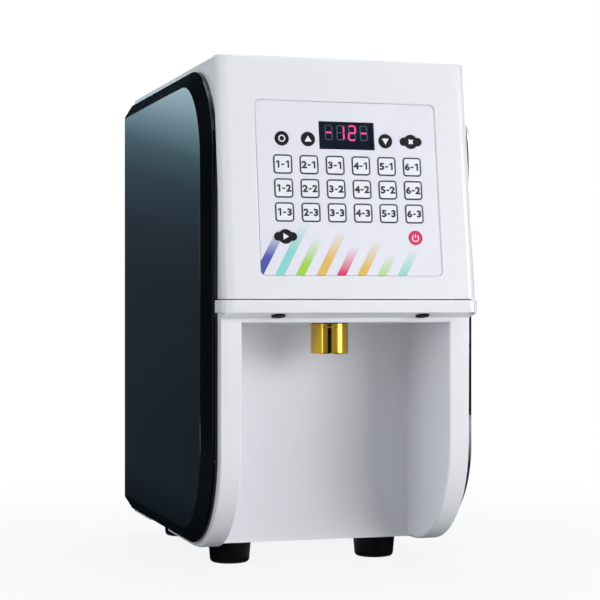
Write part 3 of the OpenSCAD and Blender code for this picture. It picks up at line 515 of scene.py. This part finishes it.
def head_outline(point):
    """True for a point on the head's outer outline, rounded corners included."""
    x, _, out = face_place(point)
    across, deep = abs(x) - (HEAD_HALF - HEAD_CORNER), -out - HEAD_CORNER
    if across > 0 and deep < 0:
        return math.hypot(across, deep) > HEAD_CORNER - 1 * MM
    return out > -NEAR or abs(x) > HALF_W - NEAR


def head_shell():
    piece = copy_of("head_cover", "head_shell")

    def recess_rim(point):
        x, s, out = face_place(point)
        return abs(out) < NEAR and abs(x) < 90 * MM and 22 * MM < s < 190 * MM

    def top_rim(point):
        return abs(point.z - TOP_Z) < NEAR and head_outline(point)

    def seam_rim(point):
        return abs(point.z - SEAM_Z - 0.8 * MM) < NEAR and head_outline(point)

    round_edges(piece, 1.5 * MM, recess_rim, 4)
    round_edges(piece, 1.8 * MM, top_rim, 4)
    round_edges(piece, 0.7 * MM, seam_rim, 3)
    smooth(piece)
    hand_over(piece, "housing", "white_shell", FINISH["white_shell"], "head_cover")


def front_profile(point):
    """True for a point on the front face of the lower frame, its rounded foot included."""
    y, z = point.y - FRONT_Y, point.z - BASE_Z
    if z < CHEEK_R and y < CHEEK_R:
        return abs(math.hypot(y - CHEEK_R, z - CHEEK_R) - CHEEK_R) < 0.1 * MM
    return abs(y) < NEAR


def front_frame():
    piece = copy_of("front_frame", "front_frame_shell")

    def bay_corner(point):
        flats = (abs(abs(point.x) - BAY_HALF) < NEAR, abs(point.z - BAY_TOP) < NEAR,
                 abs(point.y - BAY_BACK) < NEAR)
        return sum(flats) >= 2 and abs(point.x) < BAY_HALF + NEAR and point.z < BAY_TOP + NEAR

    def bay_mouth(point):
        return front_profile(point) and abs(point.x) < BAY_HALF + NEAR and point.z < BAY_TOP + NEAR

    def cheek_edge(point):
        return front_profile(point) and abs(abs(point.x) - HALF_W) < NEAR and point.z < LEDGE_Z - 4 * MM

    def ledge_rim(point):
        proud = point.y < FRONT_Y - NEAR or abs(point.x) > HALF_W + NEAR
        return proud and (abs(point.z - SEAM_Z) < NEAR or abs(point.z - LEDGE_Z) < NEAR)

    round_edges(piece, 4 * MM, bay_corner, 5)
    round_edges(piece, 2.2 * MM, bay_mouth, 4)
    round_edges(piece, 1.6 * MM, cheek_edge, 4)
    round_edges(piece, 0.8 * MM, ledge_rim, 3)
    smooth(piece)
    hand_over(piece, "housing", "white_shell", FINISH["white_shell"], "front_frame")


def housing_shell():
    piece = copy_of("main_housing", "housing_shell")

    def deck_rim(point):
        return abs(point.z - TOP_Z) < NEAR and abs(abs(point.x) - HALF_W) < NEAR

    round_edges(piece, 1.5 * MM, deck_rim, 4)
    smooth(piece)
    hand_over(piece, "housing", "white_shell", FINISH["white_shell"], "main_housing")


def side_panel(side, node):
    """A gloss panel: a slab with two round corners, a wide bevel on three sides and a hollow back."""
    low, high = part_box(node)
    inner, edge, bevel, wall = side * HALF_W, 4.5 * MM, 14.5 * MM, 3 * MM
    thick = high.x - low.x
    faces_x = sorted((inner, inner + side * edge))
    piece = slab(node + "_shell", (faces_x[0], low.y, low.z), (faces_x[1], high.y, high.z))
    for z, radius in ((high.z, 90 * MM), (low.z, 96 * MM)):
        edit(piece)
        pick(piece, "EDGE", lambda e: all(abs(v.co.z - z) < NEAR and abs(v.co.y - low.y) < NEAR
                                          for v in e.verts))
        bpy.ops.mesh.bevel(offset=radius, offset_type="OFFSET", segments=32, profile=0.5, affect="EDGES")
        leave()
    edit(piece)
    pick(piece, "FACE", lambda f: f.normal.x * side > 0.9)
    bpy.ops.mesh.inset(thickness=bevel, depth=thick - edge)
    outer = inner + side * thick
    pick(piece, "VERT", lambda v: abs(v.co.x - outer) < NEAR and v.co.y > high.y - bevel - NEAR)
    bpy.ops.transform.translate(value=(0, bevel, 0))
    pick(piece, "FACE", lambda f: f.normal.x * side < -0.9)
    bpy.ops.mesh.inset(thickness=wall, depth=0)
    bpy.ops.mesh.extrude_region_move(TRANSFORM_OT_translate={"value": (side * (edge - wall / 2), 0, 0)})
    bpy.ops.mesh.inset(thickness=bevel - wall / 2, depth=edge + wall / 2 - thick)
    leave()

    def flat_rim(point):
        return abs(point.x - outer) < NEAR

    def foot_rim(point):
        return abs(point.x - inner - side * edge) < NEAR

    round_edges(piece, 1.2 * MM, flat_rim, 4)
    round_edges(piece, 0.9 * MM, foot_rim, 3)
    smooth(piece, 24)
    hand_over(piece, "housing", "black_gloss", FINISH["black_gloss"], node)


def top_lid():
    piece = copy_of("top_lid", "lid_shell")
    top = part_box("lid_seal")[1].z + 3 * MM

    def upper_rim(point):
        return abs(point.z - top) < NEAR and point.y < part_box("hopper")[1].y + 4.5 * MM

    round_edges(piece, 1.2 * MM, upper_rim, 3)
    smooth(piece)
    hand_over(piece, "lid", "white_shell", FINISH["white_shell"], "top_lid")


# Turned pieces

def nozzle():
    low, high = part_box("nozzle")
    foot, seat = low.z, 241.5 * MM
    out, ring, bore, neck = 18.25 * MM, 18.7 * MM, 13.65 * MM, 15.25 * MM
    rings = [(bore, high.z), (neck - 0.4 * MM, high.z), (neck, high.z - 0.4 * MM), (neck, seat),
             (out - 0.5 * MM, seat), (out, seat - 0.4 * MM), (out, seat - 2.2 * MM),
             (ring - 0.2 * MM, seat - 2.4 * MM), (ring, seat - 2.6 * MM), (ring, seat - 3.5 * MM),
             (ring - 0.2 * MM, seat - 3.7 * MM), (out, seat - 3.9 * MM), (out, foot + 1.2 * MM),
             (out - 0.15 * MM, foot + 0.6 * MM), (out - 0.5 * MM, foot + 0.2 * MM), (out - 0.9 * MM, foot),
             (bore + 1.2 * MM, foot), (bore + 0.4 * MM, foot + 0.3 * MM), (bore, foot + 1 * MM)]
    piece = turned("nozzle_turned", rings, (0, NOZZLE_Y, 0), sides=96, closed=True)
    smooth(piece, 35)
    hand_over(piece, "housing", "gold_brass", FINISH["gold_brass"], "nozzle")


def feet():
    """Four turned feet: one is modelled, the others are copies."""
    tall, wide = 23 * MM, 22 * MM
    rings = [(12 * MM, 1.2 * MM), (14 * MM, 1.2 * MM), (15 * MM, 0.3 * MM), (16.2 * MM, 0),
             (17.6 * MM, 0.3 * MM), (18.9 * MM, 1.2 * MM), (19.7 * MM, 2.5 * MM), (20 * MM, 4 * MM),
             (wide - 0.6 * MM, tall - 3 * MM), (wide, tall - 2.4 * MM), (wide, tall - 0.5 * MM),
             (wide - 0.4 * MM, tall)]
    across, rows = 77 * MM, (148 * MM, 360 * MM)
    places = [Vector((side * across, FRONT_Y + row, 0)) for row in rows for side in (-1, 1)]
    first = turned("foot_1", rings, places[0])
    smooth(first, 35)
    copies = [twin(first, f"foot_{number}", place - places[0]) for number, place in enumerate(places[1:], 2)]
    for piece in [first] + copies:
        hand_over(piece, "housing", "rubber", FINISH["rubber"], "feet")


def ledge_plugs():
    piece = copy_of("ledge_plugs", "ledge_plug_pair")
    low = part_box("ledge_plugs")[0].z
    round_edges(piece, 0.4 * MM, lambda point: point.z < low + 3.2 * MM, 3)
    smooth(piece)
    hand_over(piece, "housing", "rubber", FINISH["rubber"], "ledge_plugs")


# Keypad and display

def flat_shape(sides, radius, spin=0.0, fill="NGON"):
    """A flat regular shape at the origin, with a corner up unless spun."""
    deselect()
    bpy.ops.mesh.primitive_circle_add(vertices=sides, radius=radius, fill_type=fill, rotation=(0, 0, spin))
    return settle(bpy.context.object)


def flat_bar(width, height, spin=0.0):
    deselect()
    bpy.ops.mesh.primitive_plane_add(size=1, rotation=(0, 0, spin))
    bar = bpy.context.object
    bar.scale = (width, height, 1)
    return settle(bar)


def flat_ring(outer, inner, gap=-1.0):
    """A flat ring, open at the top over a given half angle."""
    ring = flat_shape(48, outer, fill="NOTHING")
    edit(ring)
    pick(ring, "VERT", lambda v: abs(math.atan2(v.co.x, v.co.y)) < gap)
    bpy.ops.mesh.delete(type="VERT")
    select_mesh()
    bpy.ops.mesh.extrude_region_move()
    bpy.ops.transform.resize(value=(inner / outer, inner / outer, 1), center_override=(0, 0, 0))
    leave()
    return ring


def cross_shape(size):
    """A flat cross with arms a third of its size, turned like a times sign."""
    deselect()
    bpy.ops.mesh.primitive_grid_add(x_subdivisions=3, y_subdivisions=3, size=size,
                                    rotation=(0, 0, math.pi / 4))
    cross = bpy.context.object
    edit(cross)
    pick(cross, "FACE", lambda f: abs(f.calc_center_median().x * f.calc_center_median().y) > size * size / 20)
    bpy.ops.mesh.delete(type="FACE")
    leave()
    return settle(cross)


def print_on(shape, place, turn, ink, height=0.04 * MM):
    """Lays a flat shape on a surface, raises it a little and inks it."""
    edit(shape)
    select_mesh()
    bpy.ops.mesh.extrude_region_move(TRANSFORM_OT_translate={"value": (0, 0, height)})
    select_mesh()
    bpy.ops.mesh.normals_make_consistent(inside=False)
    leave()
    shape.location = place
    shape.rotation_euler = turn
    shape.data.materials.clear()
    shape.data.materials.append(PRINT[ink])
    return settle(shape)


def digit_shape(text, height):
    """A flat bold digit at the origin, centred, of a given height."""
    deselect()
    bpy.ops.object.text_add()
    words = bpy.context.object
    words.data.body = text
    words.data.size = 1.0
    words.data.offset = 0.045
    words.data.resolution_u = 4
    bpy.ops.object.convert(target="MESH")
    words = bpy.context.object
    bpy.ops.object.origin_set(type="ORIGIN_GEOMETRY", center="BOUNDS")
    words.location = (0, 0, 0)
    size = height / words.dimensions.y
    words.scale = (size * 1.12, size, 1)
    return settle(words)


def one_shape(height):
    """The digit 1 with a flag, which the plain font has not got: a bar with a piece drawn out of its side."""
    stroke, flag, drop = 0.23 * height, 0.24 * height, 0.16 * height
    bar = flat_bar(stroke, height)
    edit(bar)
    pick(bar, "EDGE", lambda e: all(v.co.x < 0 for v in e.verts))
    bpy.ops.mesh.subdivide(number_cuts=1)
    pick(bar, "VERT", lambda v: abs(v.co.y) < NEAR)
    bpy.ops.transform.translate(value=(0, 0.29 * height, 0))
    pick(bar, "EDGE", lambda e: all(v.co.x < 0 and v.co.y > 0.2 * height for v in e.verts))
    bpy.ops.mesh.extrude_region_move(TRANSFORM_OT_translate={"value": (-flag, -drop, 0)})
    select_mesh()
    bpy.ops.transform.translate(value=(flag / 3, 0, 0))
    leave()
    return bar


def key_label(column, row):
    """The two digits of a key and the dash between them, each with its shift from the key's centre."""
    height, apart = 7 * MM, 4.7 * MM
    digits = [one_shape(height) if n == 1 else digit_shape(str(n), height) for n in (column, row)]
    return [(digits[0], -apart, 0), (flat_bar(3 * MM, 1.4 * MM), 0, -0.3 * MM), (digits[1], apart, 0)]


def cap_of(node, name, rim=0.12 * MM):
    """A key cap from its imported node, with a soft rim."""
    piece = copy_of(node, name)
    round_edges(piece, rim, lambda point: face_place(point)[2] > -CAP_IN - NEAR, 2)
    return piece


def number_keys():
    """Eighteen outlined keys: one is modelled, the others are copies, each with its own label."""
    first = cap_of("key_1_1", "cap_1_1")
    first.data.materials.append(PRINT["outline"])
    first.data.materials.append(FINISH["key_film"])
    edit(first)
    pick(first, "FACE", lambda f: face_place(f.calc_center_median())[2] > -CAP_IN - NEAR
         and f.normal.dot(FACE_OUT) > 0.999)
    bpy.ops.mesh.inset(thickness=1.15 * MM, depth=0)
    first.active_material_index = 1
    bpy.ops.object.material_slot_assign()
    leave()
    smooth(first)
    blanks = {}
    for column, x in enumerate(KEY_COLUMNS, 1):
        for row, s in enumerate(KEY_ROWS, 1):
            shift = on_face(x, s) - on_face(KEY_COLUMNS[0], KEY_ROWS[0])
            blanks[column, row] = twin(first, f"blank_{column}_{row}", shift)
    bpy.data.objects.remove(first)
    for (column, row), blank in blanks.items():
        x, s = KEY_COLUMNS[column - 1], KEY_ROWS[row - 1]
        signs = [print_on(shape, on_face(x + right, s + up, -CAP_IN), FACE_TURN, "digit")
                 for shape, right, up in key_label(column, row)]
        cap = join([blank] + signs, f"cap_{column}_{row}")
        hand_over(cap, f"key_{column}_{row}", "key_film", None, f"key_{column}_{row}")


def icon_key(node, slot, x, s, shapes):
    """A round or tab key with its sign in pale ink. Each shape comes with its shift from the centre."""
    cap = cap_of(node, node + "_cap")
    smooth(cap)
    cap.data.materials.append(FINISH[slot])
    signs = [print_on(shape, on_face(x + right, s + up, -CAP_IN), FACE_TURN, "pale")
             for shape, right, up in shapes]
    cap = join([cap] + signs, node + "_cap")
    hand_over(cap, node, slot, None, node)


def function_keys():
    far, near = KEY_COLUMNS[0], KEY_COLUMNS[1]
    icon_key("key_store", "key_black", far, UPPER_KEYS, [(flat_ring(3.4 * MM, 2.3 * MM), 0, 0)])
    icon_key("key_up", "key_black", near, UPPER_KEYS, [(flat_shape(3, 4 * MM), 0, -0.5 * MM)])
    icon_key("key_down", "key_black", -near, UPPER_KEYS, [(flat_shape(3, 4 * MM, math.pi), 0, 0.5 * MM)])
    icon_key("key_clear", "key_black", -far, UPPER_KEYS, [(cross_shape(5.6 * MM), 0, 0)])
    icon_key("key_run", "key_black", far, LOWER_KEYS, [(flat_shape(3, 3.6 * MM, -math.pi / 2), -0.4 * MM, 0)])
    icon_key("key_power", "key_magenta", -far, LOWER_KEYS,
             [(flat_ring(3.6 * MM, 2.7 * MM, 0.6), 0, -0.3 * MM),
              (flat_bar(0.9 * MM, 3.6 * MM), 0, 1.7 * MM)])


def keypad_overlay():
    piece = copy_of("keypad_overlay", "keypad_film_sheet")
    smooth(piece)
    hand_over(piece, "housing", "keypad_film", FINISH["keypad_film"], "keypad_overlay")


def face_slab(name, width, height, s, out_low, out_high):
    """A plate that lies in the head's front face, between two levels."""
    deselect()
    bpy.ops.mesh.primitive_cube_add(size=1, location=on_face(0, s, (out_low + out_high) / 2),
                                    rotation=FACE_TURN)
    plate = named(bpy.context.object, name)
    plate.scale = (width, height, out_high - out_low)
    return settle(plate)


def hex_bar(length, width, spin):
    """A pointed bar of a digit."""
    point = width / math.sqrt(3)
    bar = flat_shape(6, point)
    edit(bar)
    for way in (-1, 1):
        pick(bar, "VERT", lambda v: v.co.y * way > 0)
        bpy.ops.transform.translate(value=(0, way * (length / 2 - point), 0))
    leave()
    bar.rotation_euler.z = spin
    return settle(bar)


def display():
    """A faintly red window over a black face with a painted glow."""
    glass = face_slab("display_glass", 54.6 * MM, 26.6 * MM, WINDOW_S, -2.2 * MM, -1.3 * MM)
    round_edges(glass, 0.3 * MM, lambda point: True, 2)
    smooth(glass)
    hand_over(glass, "housing", "display_tint", FINISH["display_tint"], "display_window")
    back = face_slab("display_face", 54 * MM, 26 * MM, WINDOW_S, -2.5 * MM, SEGMENTS_OUT)
    round_edges(back, 0.05 * MM, lambda point: True, 1)
    # The face takes the display finish, whose glow is painted light.
    hand_over(back, "housing", "display_tint", PRINT["display"])


def display_digits():
    """Four seven-segment digits on the display's face, with thin unlit segments that carry a painted glow."""
    wide, tall, pitch, lift = 6.6 * MM, 13.6 * MM, 11.6 * MM, 3 * MM
    strokes = {"lit": 1.7 * MM, "unlit": 0.9 * MM}
    arm, post = wide - 0.5 * MM, tall / 2 - 0.5 * MM
    segments = {"a": (0, tall / 2, arm, True), "g": (0, 0, arm, True), "d": (0, -tall / 2, arm, True),
                "f": (-wide / 2, tall / 4, post, False), "b": (wide / 2, tall / 4, post, False),
                "e": (-wide / 2, -tall / 4, post, False), "c": (wide / 2, -tall / 4, post, False)}
    shown = ["g", "bc", "abged", "g"]
    parts = {"lit": [], "unlit": []}
    for number, lit in enumerate(shown):
        middle = (number - 1.5) * pitch
        for key, (right, up, length, lying) in segments.items():
            ink = "lit" if key in lit else "unlit"
            bar = hex_bar(length, strokes[ink], math.pi / 2 if lying else 0)
            place = on_face(middle + right, WINDOW_S + lift + up, SEGMENTS_OUT)
            parts[ink].append(print_on(bar, place, FACE_TURN, ink))
    for ink, bars in parts.items():
        digits = join(bars, f"display_{ink}_segments")
        hand_over(digits, "housing", "display_tint", None)


# Rear fittings

def level(y):
    """A test for points on the plane at a given y."""
    return lambda point: abs(point.y - y) < NEAR


def rear_cover():
    piece = copy_of("rear_cover", "rear_cover_sheet")
    smooth(piece, 20)
    hand_over(piece, "housing", "painted_steel", FINISH["painted_steel"], "rear_cover")


def power_inlet():
    """The socket moulding with bright pins."""
    piece = copy_of("power_inlet", "power_socket")
    round_edges(piece, 0.4 * MM, level(FLANGE_Y))
    smooth(piece)
    piece.data.materials.append(FINISH["black_plastic"])
    piece.data.materials.append(FINISH["sheet_steel"])
    pins = [(SOCKET_X + right * MM, SOCKET_Z + up * MM) for right, up in ((-7, -2.5), (7, -2.5), (0, 3))]
    half_wide, half_tall, socket_floor = 1.1 * MM, 2.1 * MM, REAR_Y - 14.9 * MM

    def on_pin(face):
        middle = face.calc_center_median()
        near = any(abs(abs(middle.x) - x) < half_wide and abs(middle.z - z) < half_tall for x, z in pins)
        return near and middle.y > socket_floor

    edit(piece)
    pick(piece, "FACE", on_pin)
    piece.active_material_index = 1
    bpy.ops.object.material_slot_assign()
    leave()
    hand_over(piece, "housing", "black_plastic", None, "power_inlet")


def power_switch():
    """The switch bezel, and its rocker with a bar and a ring for on and off."""
    bezel = copy_of("switch_body", "switch_bezel")
    round_edges(bezel, 0.4 * MM, level(REAR_Y + 1.6 * MM))
    smooth(bezel)
    hand_over(bezel, "housing", "black_plastic", FINISH["black_plastic"], "switch_body")
    rocker = copy_of("switch_rocker", "rocker_cap")
    round_edges(rocker, 0.4 * MM, lambda point: point.y > REAR_Y - 4 * MM)
    smooth(rocker)
    rocker.data.materials.append(FINISH["rocker_plastic"])
    tops = sorted((face for face in rocker.data.polygons if face.normal.y > 0.85), key=lambda face: face.area)
    tops = sorted(tops[-2:], key=lambda face: face.center.z)
    marks = [flat_ring(1.8 * MM, 1.2 * MM), flat_bar(0.7 * MM, 3.6 * MM)]
    signs = [print_on(mark, face.center.copy(), face.normal.to_track_quat("Z", "Y").to_euler(), "pale")
             for mark, face in zip(marks, tops)]
    hand_over(join([rocker] + signs, "rocker_cap"), "rocker", "rocker_plastic", None, "switch_rocker")


def cut(piece, cutter):
    """Takes one piece out of another."""
    only(piece)
    boolean = piece.modifiers.new("cut", "BOOLEAN")
    boolean.object = cutter
    boolean.solver = "EXACT"
    bpy.ops.object.modifier_apply(modifier=boolean.name)
    bpy.data.objects.remove(cutter)


def cross_head(name, rings, top):
    """A screw with a cross recess in its head, pointing out of the rear."""
    screw = turned(name, rings, sides=40)
    for arm in ((1.7 * MM, 0.42 * MM), (0.42 * MM, 1.7 * MM)):
        cut(screw, slab("recess", (-arm[0], -arm[1], top - 1 * MM), (arm[0], arm[1], top + 1 * MM)))
    screw.rotation_euler = (-math.pi / 2, 0, 0)
    settle(screw)
    smooth(screw, 30)
    return screw


def case_screws():
    """Six domed screws round the rear cover and two flush ones in the socket's flange."""
    shank, wide = 1.5 * MM, 3.2 * MM
    dome = [(shank, -5 * MM), (shank, 0), (wide, 0), (wide, 0.7 * MM), (0.94 * wide, 1.2 * MM),
            (0.8 * wide, 1.6 * MM), (0.6 * wide, 1.85 * MM), (0.4 * wide, 2 * MM)]
    flush = [(shank, -5.5 * MM), (shank, -1.3 * MM), (2.7 * MM, -0.25 * MM), (2.6 * MM, -0.1 * MM),
             (2.4 * MM, 0)]
    cover_half, flange_half = 113 * MM, 20 * MM
    rows = [63 * MM, 258 * MM, 453 * MM]
    spots = {"dome": [(side * cover_half, REAR_Y, z) for side in (-1, 1) for z in rows],
             "flush": [(SOCKET_X + side * flange_half, FLANGE_Y, SOCKET_Z) for side in (-1, 1)]}
    first = {"dome": cross_head("cover_screw", dome, 2 * MM), "flush": cross_head("inlet_screw", flush, 0)}
    for kind, places in spots.items():
        for number, place in enumerate(places, 1):
            piece = twin(first[kind], f"{kind}_screw_{number}", place)
            hand_over(piece, "housing", "sheet_steel", FINISH["sheet_steel"], "case_screws")
        bpy.data.objects.remove(first[kind])


def smooth_copies():
    """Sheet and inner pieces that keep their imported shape, with smooth round surfaces."""
    for node, body in (("hopper", "housing"), ("auger", "auger"), ("agitator", "agitator"),
                       ("base_pan", "housing"), ("lid_pins", "housing"), ("shaft_bushes", "housing"),
                       ("outlet_elbow", "housing")):
        piece = copy_of(node, node + "_smooth")
        smooth(piece, 30)
        slot = next(row["material_slot"] for row in frame["record"]["subparts"] if row["node"] == node)
        hand_over(piece, body, slot, FINISH[slot], node)


# Studio

MIDDLE = Vector((0, 0, 0.25))
UPRIGHT = math.pi / 2

# Colours of the boards that reflections see
BLACK = (0.004, 0.006, 0.008, 1)
NIGHT = (0.012, 0.02, 0.027, 1)
DUSK = (0.03, 0.048, 0.064, 1)
MIST = (0.26, 0.29, 0.32, 1)
HAZE = (0.7, 0.75, 0.8, 1)


def emission(name, color, strength):
    material = bpy.data.materials.new(name)
    material.use_nodes = True
    tree = material.node_tree
    tree.nodes.remove(tree.nodes["Principled BSDF"])
    glow = put(tree, "Emission", {"Color": color, "Strength": strength})
    tree.links.new(glow.outputs[0], tree.nodes["Material Output"].inputs["Surface"])
    return material


def seen_rays(tree):
    """One for what the camera sees, straight, in a reflection or through glass, and zero for plain light."""
    rays = put(tree, "LightPath")
    seen = math_node(tree, "MAXIMUM", rays.outputs["Is Camera Ray"], rays.outputs["Is Glossy Ray"])
    return math_node(tree, "MAXIMUM", seen, rays.outputs["Is Transmission Ray"])


def floor():
    """A pale floor. The camera and reflections see it whitened, so that only a soft shadow stays on it."""
    deselect()
    bpy.ops.mesh.primitive_plane_add(size=60)
    piece = named(bpy.context.object, "floor")
    material = bpy.data.materials.new("floor_pale")
    material.use_nodes = True
    tree = material.node_tree
    shader = tree.nodes["Principled BSDF"]
    shader.inputs["Base Color"].default_value = (0.62, 0.64, 0.64, 1)
    shader.inputs["Roughness"].default_value = 0.9
    shader.inputs["Specular IOR Level"].default_value = 0.1
    place = put(tree, "TexCoord").outputs["Object"]
    away = put(tree, "VectorMath", {0: place}, operation="LENGTH").outputs["Value"]
    share = put(tree, "MapRange", {"Value": away, "From Min": 0.2, "From Max": 0.9,
                                   "To Min": 0.88}).outputs["Result"]
    white = put(tree, "Emission", {"Color": (1, 1, 1, 1), "Strength": 1.0})
    seen = math_node(tree, "MULTIPLY", seen_rays(tree), share)
    blend = put(tree, "MixShader", {0: seen, 1: shader.outputs[0], 2: white.outputs[0]})
    tree.links.new(blend.outputs[0], tree.nodes["Material Output"].inputs["Surface"])
    piece.data.materials.append(material)


def world():
    """White where the camera and reflections look, and a softer light on everything else."""
    scene_world = bpy.data.worlds.new("studio")
    bpy.context.scene.world = scene_world
    scene_world.use_nodes = True
    tree = scene_world.node_tree
    soft = tree.nodes["Background"]
    soft.inputs["Color"].default_value = (0.93, 0.96, 1.0, 1)
    soft.inputs["Strength"].default_value = 0.18
    white = put(tree, "Background", {"Color": (1, 1, 1, 1), "Strength": 1.0})
    blend = put(tree, "MixShader", {0: seen_rays(tree), 1: soft.outputs[0], 2: white.outputs[0]})
    tree.links.new(blend.outputs[0], tree.nodes["World Output"].inputs["Surface"])


def lamp(name, place, size, watts, color=(1, 1, 1)):
    """A softbox that faces the object."""
    data = bpy.data.lights.new(name, "AREA")
    data.shape = "RECTANGLE"
    data.size, data.size_y = size
    data.energy = watts
    data.color = color
    made = bpy.data.objects.new(name, data)
    bpy.context.scene.collection.objects.link(made)
    made.location = place
    made.rotation_euler = (MIDDLE - Vector(place)).to_track_quat("-Z", "Y").to_euler()
    return made


def around(azimuth, height, distance):
    """A place round the object: azimuth 0 is in front of it and 90 on its right, in degrees."""
    turn, lift = math.radians(azimuth), math.radians(height)
    level_out = distance * math.cos(lift)
    return (level_out * math.sin(turn), -level_out * math.cos(turn), MIDDLE[2] + distance * math.sin(lift))


def lights():
    far = 5.0
    front = lamp("front_light", around(30, 9, far), (2.1, 2.1), 105)
    front.visible_glossy = False
    front.visible_transmission = False
    lamp("right_light", around(50, 8, far), (2.1, 2.1), 68, (1.0, 0.98, 1.0))
    lamp("left_fill", around(-65, 10, far), (2.8, 2.8), 92, (0.95, 1.0, 1.0))
    lamp("left_rim", around(-112, 25, far), (2.0, 2.0), 18)
    lamp("top_light", (0.2, 0.3, 4.5), (2.5, 2.5), 70, (0.9, 1.0, 0.98))
    lamp("rear_light", around(165, 22, far), (3.2, 3.2), 120)


def card(name, place, turn, size, stops, along="Y", slope=0.0):
    """A board that only reflections see, with a run of colours along its width or height.

    Each stop is a distance along the board and a colour. A slope slants the run across the board.
    """
    deselect()
    bpy.ops.mesh.primitive_plane_add(size=1, location=place, rotation=turn)
    piece = named(bpy.context.object, name)
    piece.scale = (size[0], size[1], 1)
    material = emission(name, (1, 1, 1, 1), 1.0)
    tree = material.node_tree
    parts = put(tree, "SeparateXYZ", {0: put(tree, "TexCoord").outputs["Object"]})
    length = size[0] if along == "X" else size[1]
    way = math_node(tree, "ADD", parts.outputs[along], 0.5)
    if slope:
        lean = math_node(tree, "MULTIPLY", parts.outputs["X"], -slope * size[0] / length)
        way = math_node(tree, "ADD", way, lean)
    ramp = put(tree, "ValToRGB", {0: way})
    color_stops(ramp, [(share / length, color) for share, color in stops])
    tree.links.new(ramp.outputs["Color"], tree.nodes["Emission"].inputs["Color"])
    piece.data.materials.append(material)
    piece.visible_camera = False
    piece.visible_diffuse = False
    piece.visible_shadow = False


def plain_card(name, place, turn, size, color):
    card(name, place, turn, size, [(0.0, color), (size[1], color)])


def back_cards():
    """Behind: a band that brightens upwards, a dark board over its right end and a low one beside it."""
    band = [(0.0, DUSK), (0.3, (0.042, 0.062, 0.082, 1)), (0.40, (0.057, 0.08, 0.113, 1)),
            (0.50, (0.088, 0.152, 0.208, 1)), (0.565, (0.165, 0.297, 0.38, 1)),
            (0.62, (0.43, 0.69, 0.84, 1)), (0.70, (1.05, 1.48, 1.7, 1)), (0.76, NIGHT)]
    card("back_card", (-0.48, 1.6, 1.6), (UPRIGHT, 0, 0), (2.5, 3.2), band, slope=0.3)
    plain_card("bevel_card", (0.22, 1.58, 1.6), (UPRIGHT, 0, 0), (1.1, 3.2), NIGHT)
    plain_card("low_card", (1.6, 1.55, 0.131), (UPRIGHT, 0, 0), (1.7, 0.262), NIGHT)


def side_cards():
    """At the sides: walls that fade from dark to haze, dark rear corners, a small light and a grey board."""
    wall = [(0.0, NIGHT), (0.8, NIGHT), (1.5, HAZE), (3.2, HAZE)]
    away, half_tall = 1.75, 1.6
    for side, middle, length in ((-1, -1.45, 2.9), (1, -0.45, 0.9)):
        card(f"wall_card_{side}", (side * away, middle, half_tall), (UPRIGHT, 0, UPRIGHT),
             (length, 2 * half_tall), wall)
        plain_card(f"corner_card_{side}", (side * away, 0.85, half_tall), (UPRIGHT, 0, UPRIGHT),
                   (1.7, 2 * half_tall), NIGHT)
    plain_card("rim_card", (0.53, 0.276, 0.46), (UPRIGHT, 0, math.radians(-41)), (0.12, 0.24),
               (3.0, 3.0, 3.0, 1))
    plain_card("band_card", (1.74, 1.5, 0.2), (UPRIGHT, 0, UPRIGHT), (0.4, 0.4), (0.3, 0.32, 0.34, 1))


def floor_cards():
    """On the floor: dark mats at both sides with paler ends, and a black one in front."""
    mat = [(0.0, BLACK), (0.1, BLACK), (0.25, DUSK), (1.75, DUSK)]
    far_end = [(0.0, DUSK), (0.75, HAZE), (1.1, HAZE)]
    near_end = [(0.0, DUSK), (0.45, MIST), (0.6, MIST)]
    lift = 0.002
    for side, turn in ((-1, math.pi), (1, 0.0)):
        card(f"mat_card_{side}", (side * 0.925, -0.6, lift), (0, 0, turn), (1.75, 4.6), mat, "X")
        card(f"far_haze_card_{side}", (side * 1.2, 1.1, 2 * lift), (0, 0, turn), (1.1, 1.2), far_end, "X")
        card(f"near_haze_card_{side}", (side * 1.45, -1.05, 2 * lift), (0, 0, turn), (0.6, 1.3), near_end,
             "X")
    plain_card("front_mat_card", (0.3, -1.6, lift), (0, 0, 0), (1.2, 2.0), BLACK)


def front_cards():
    """In front: two grey boards and a bright strip for the brass, and a black board behind them."""
    dim, dimmer = (0.4, 0.4, 0.4, 1), (0.25, 0.25, 0.25, 1)
    nozzle_z = 0.22
    plain_card("nozzle_card", (0.044, -0.4, nozzle_z), (UPRIGHT, 0, 0), (0.134, 0.14), dim)
    card("nozzle_left_card", (-0.0745, -0.212, nozzle_z), (UPRIGHT, 0, 0), (0.073, 0.06),
         [(0.0, dim), (0.073, dimmer)], "X")
    plain_card("front_card", (-0.7, -2.9, 1.3), (UPRIGHT, 0, 0), (4.2, 2.6), BLACK)
    plain_card("glint_card", (-1.63, -1.0, 0.6), (UPRIGHT, 0, math.radians(-62)), (0.25, 1.6),
               (2.2, 2.2, 2.2, 1))


def camera():
    data = bpy.data.cameras.new("camera")
    data.lens = 104.216
    data.sensor_width = 36
    data.shift_y = 3.31 / 600
    made = bpy.data.objects.new("camera", data)
    bpy.context.scene.collection.objects.link(made)
    made.location = (-0.51198, -1.74965, 0.26091)
    made.rotation_euler = (math.pi / 2, 0, math.radians(-16.65))
    bpy.context.scene.camera = made


camera()
world()
lights()
back_cards()
side_cards()
floor_cards()
front_cards()
floor()
dress_nodes()
head_shell()
front_frame()
housing_shell()
side_panel(-1, "left_side_panel")
side_panel(1, "right_side_panel")
top_lid()
nozzle()
feet()
ledge_plugs()
keypad_overlay()
number_keys()
function_keys()
display()
display_digits()
rear_cover()
power_inlet()
power_switch()
case_screws()
smooth_copies()

bpy.context.scene.view_settings.view_transform = "Standard"
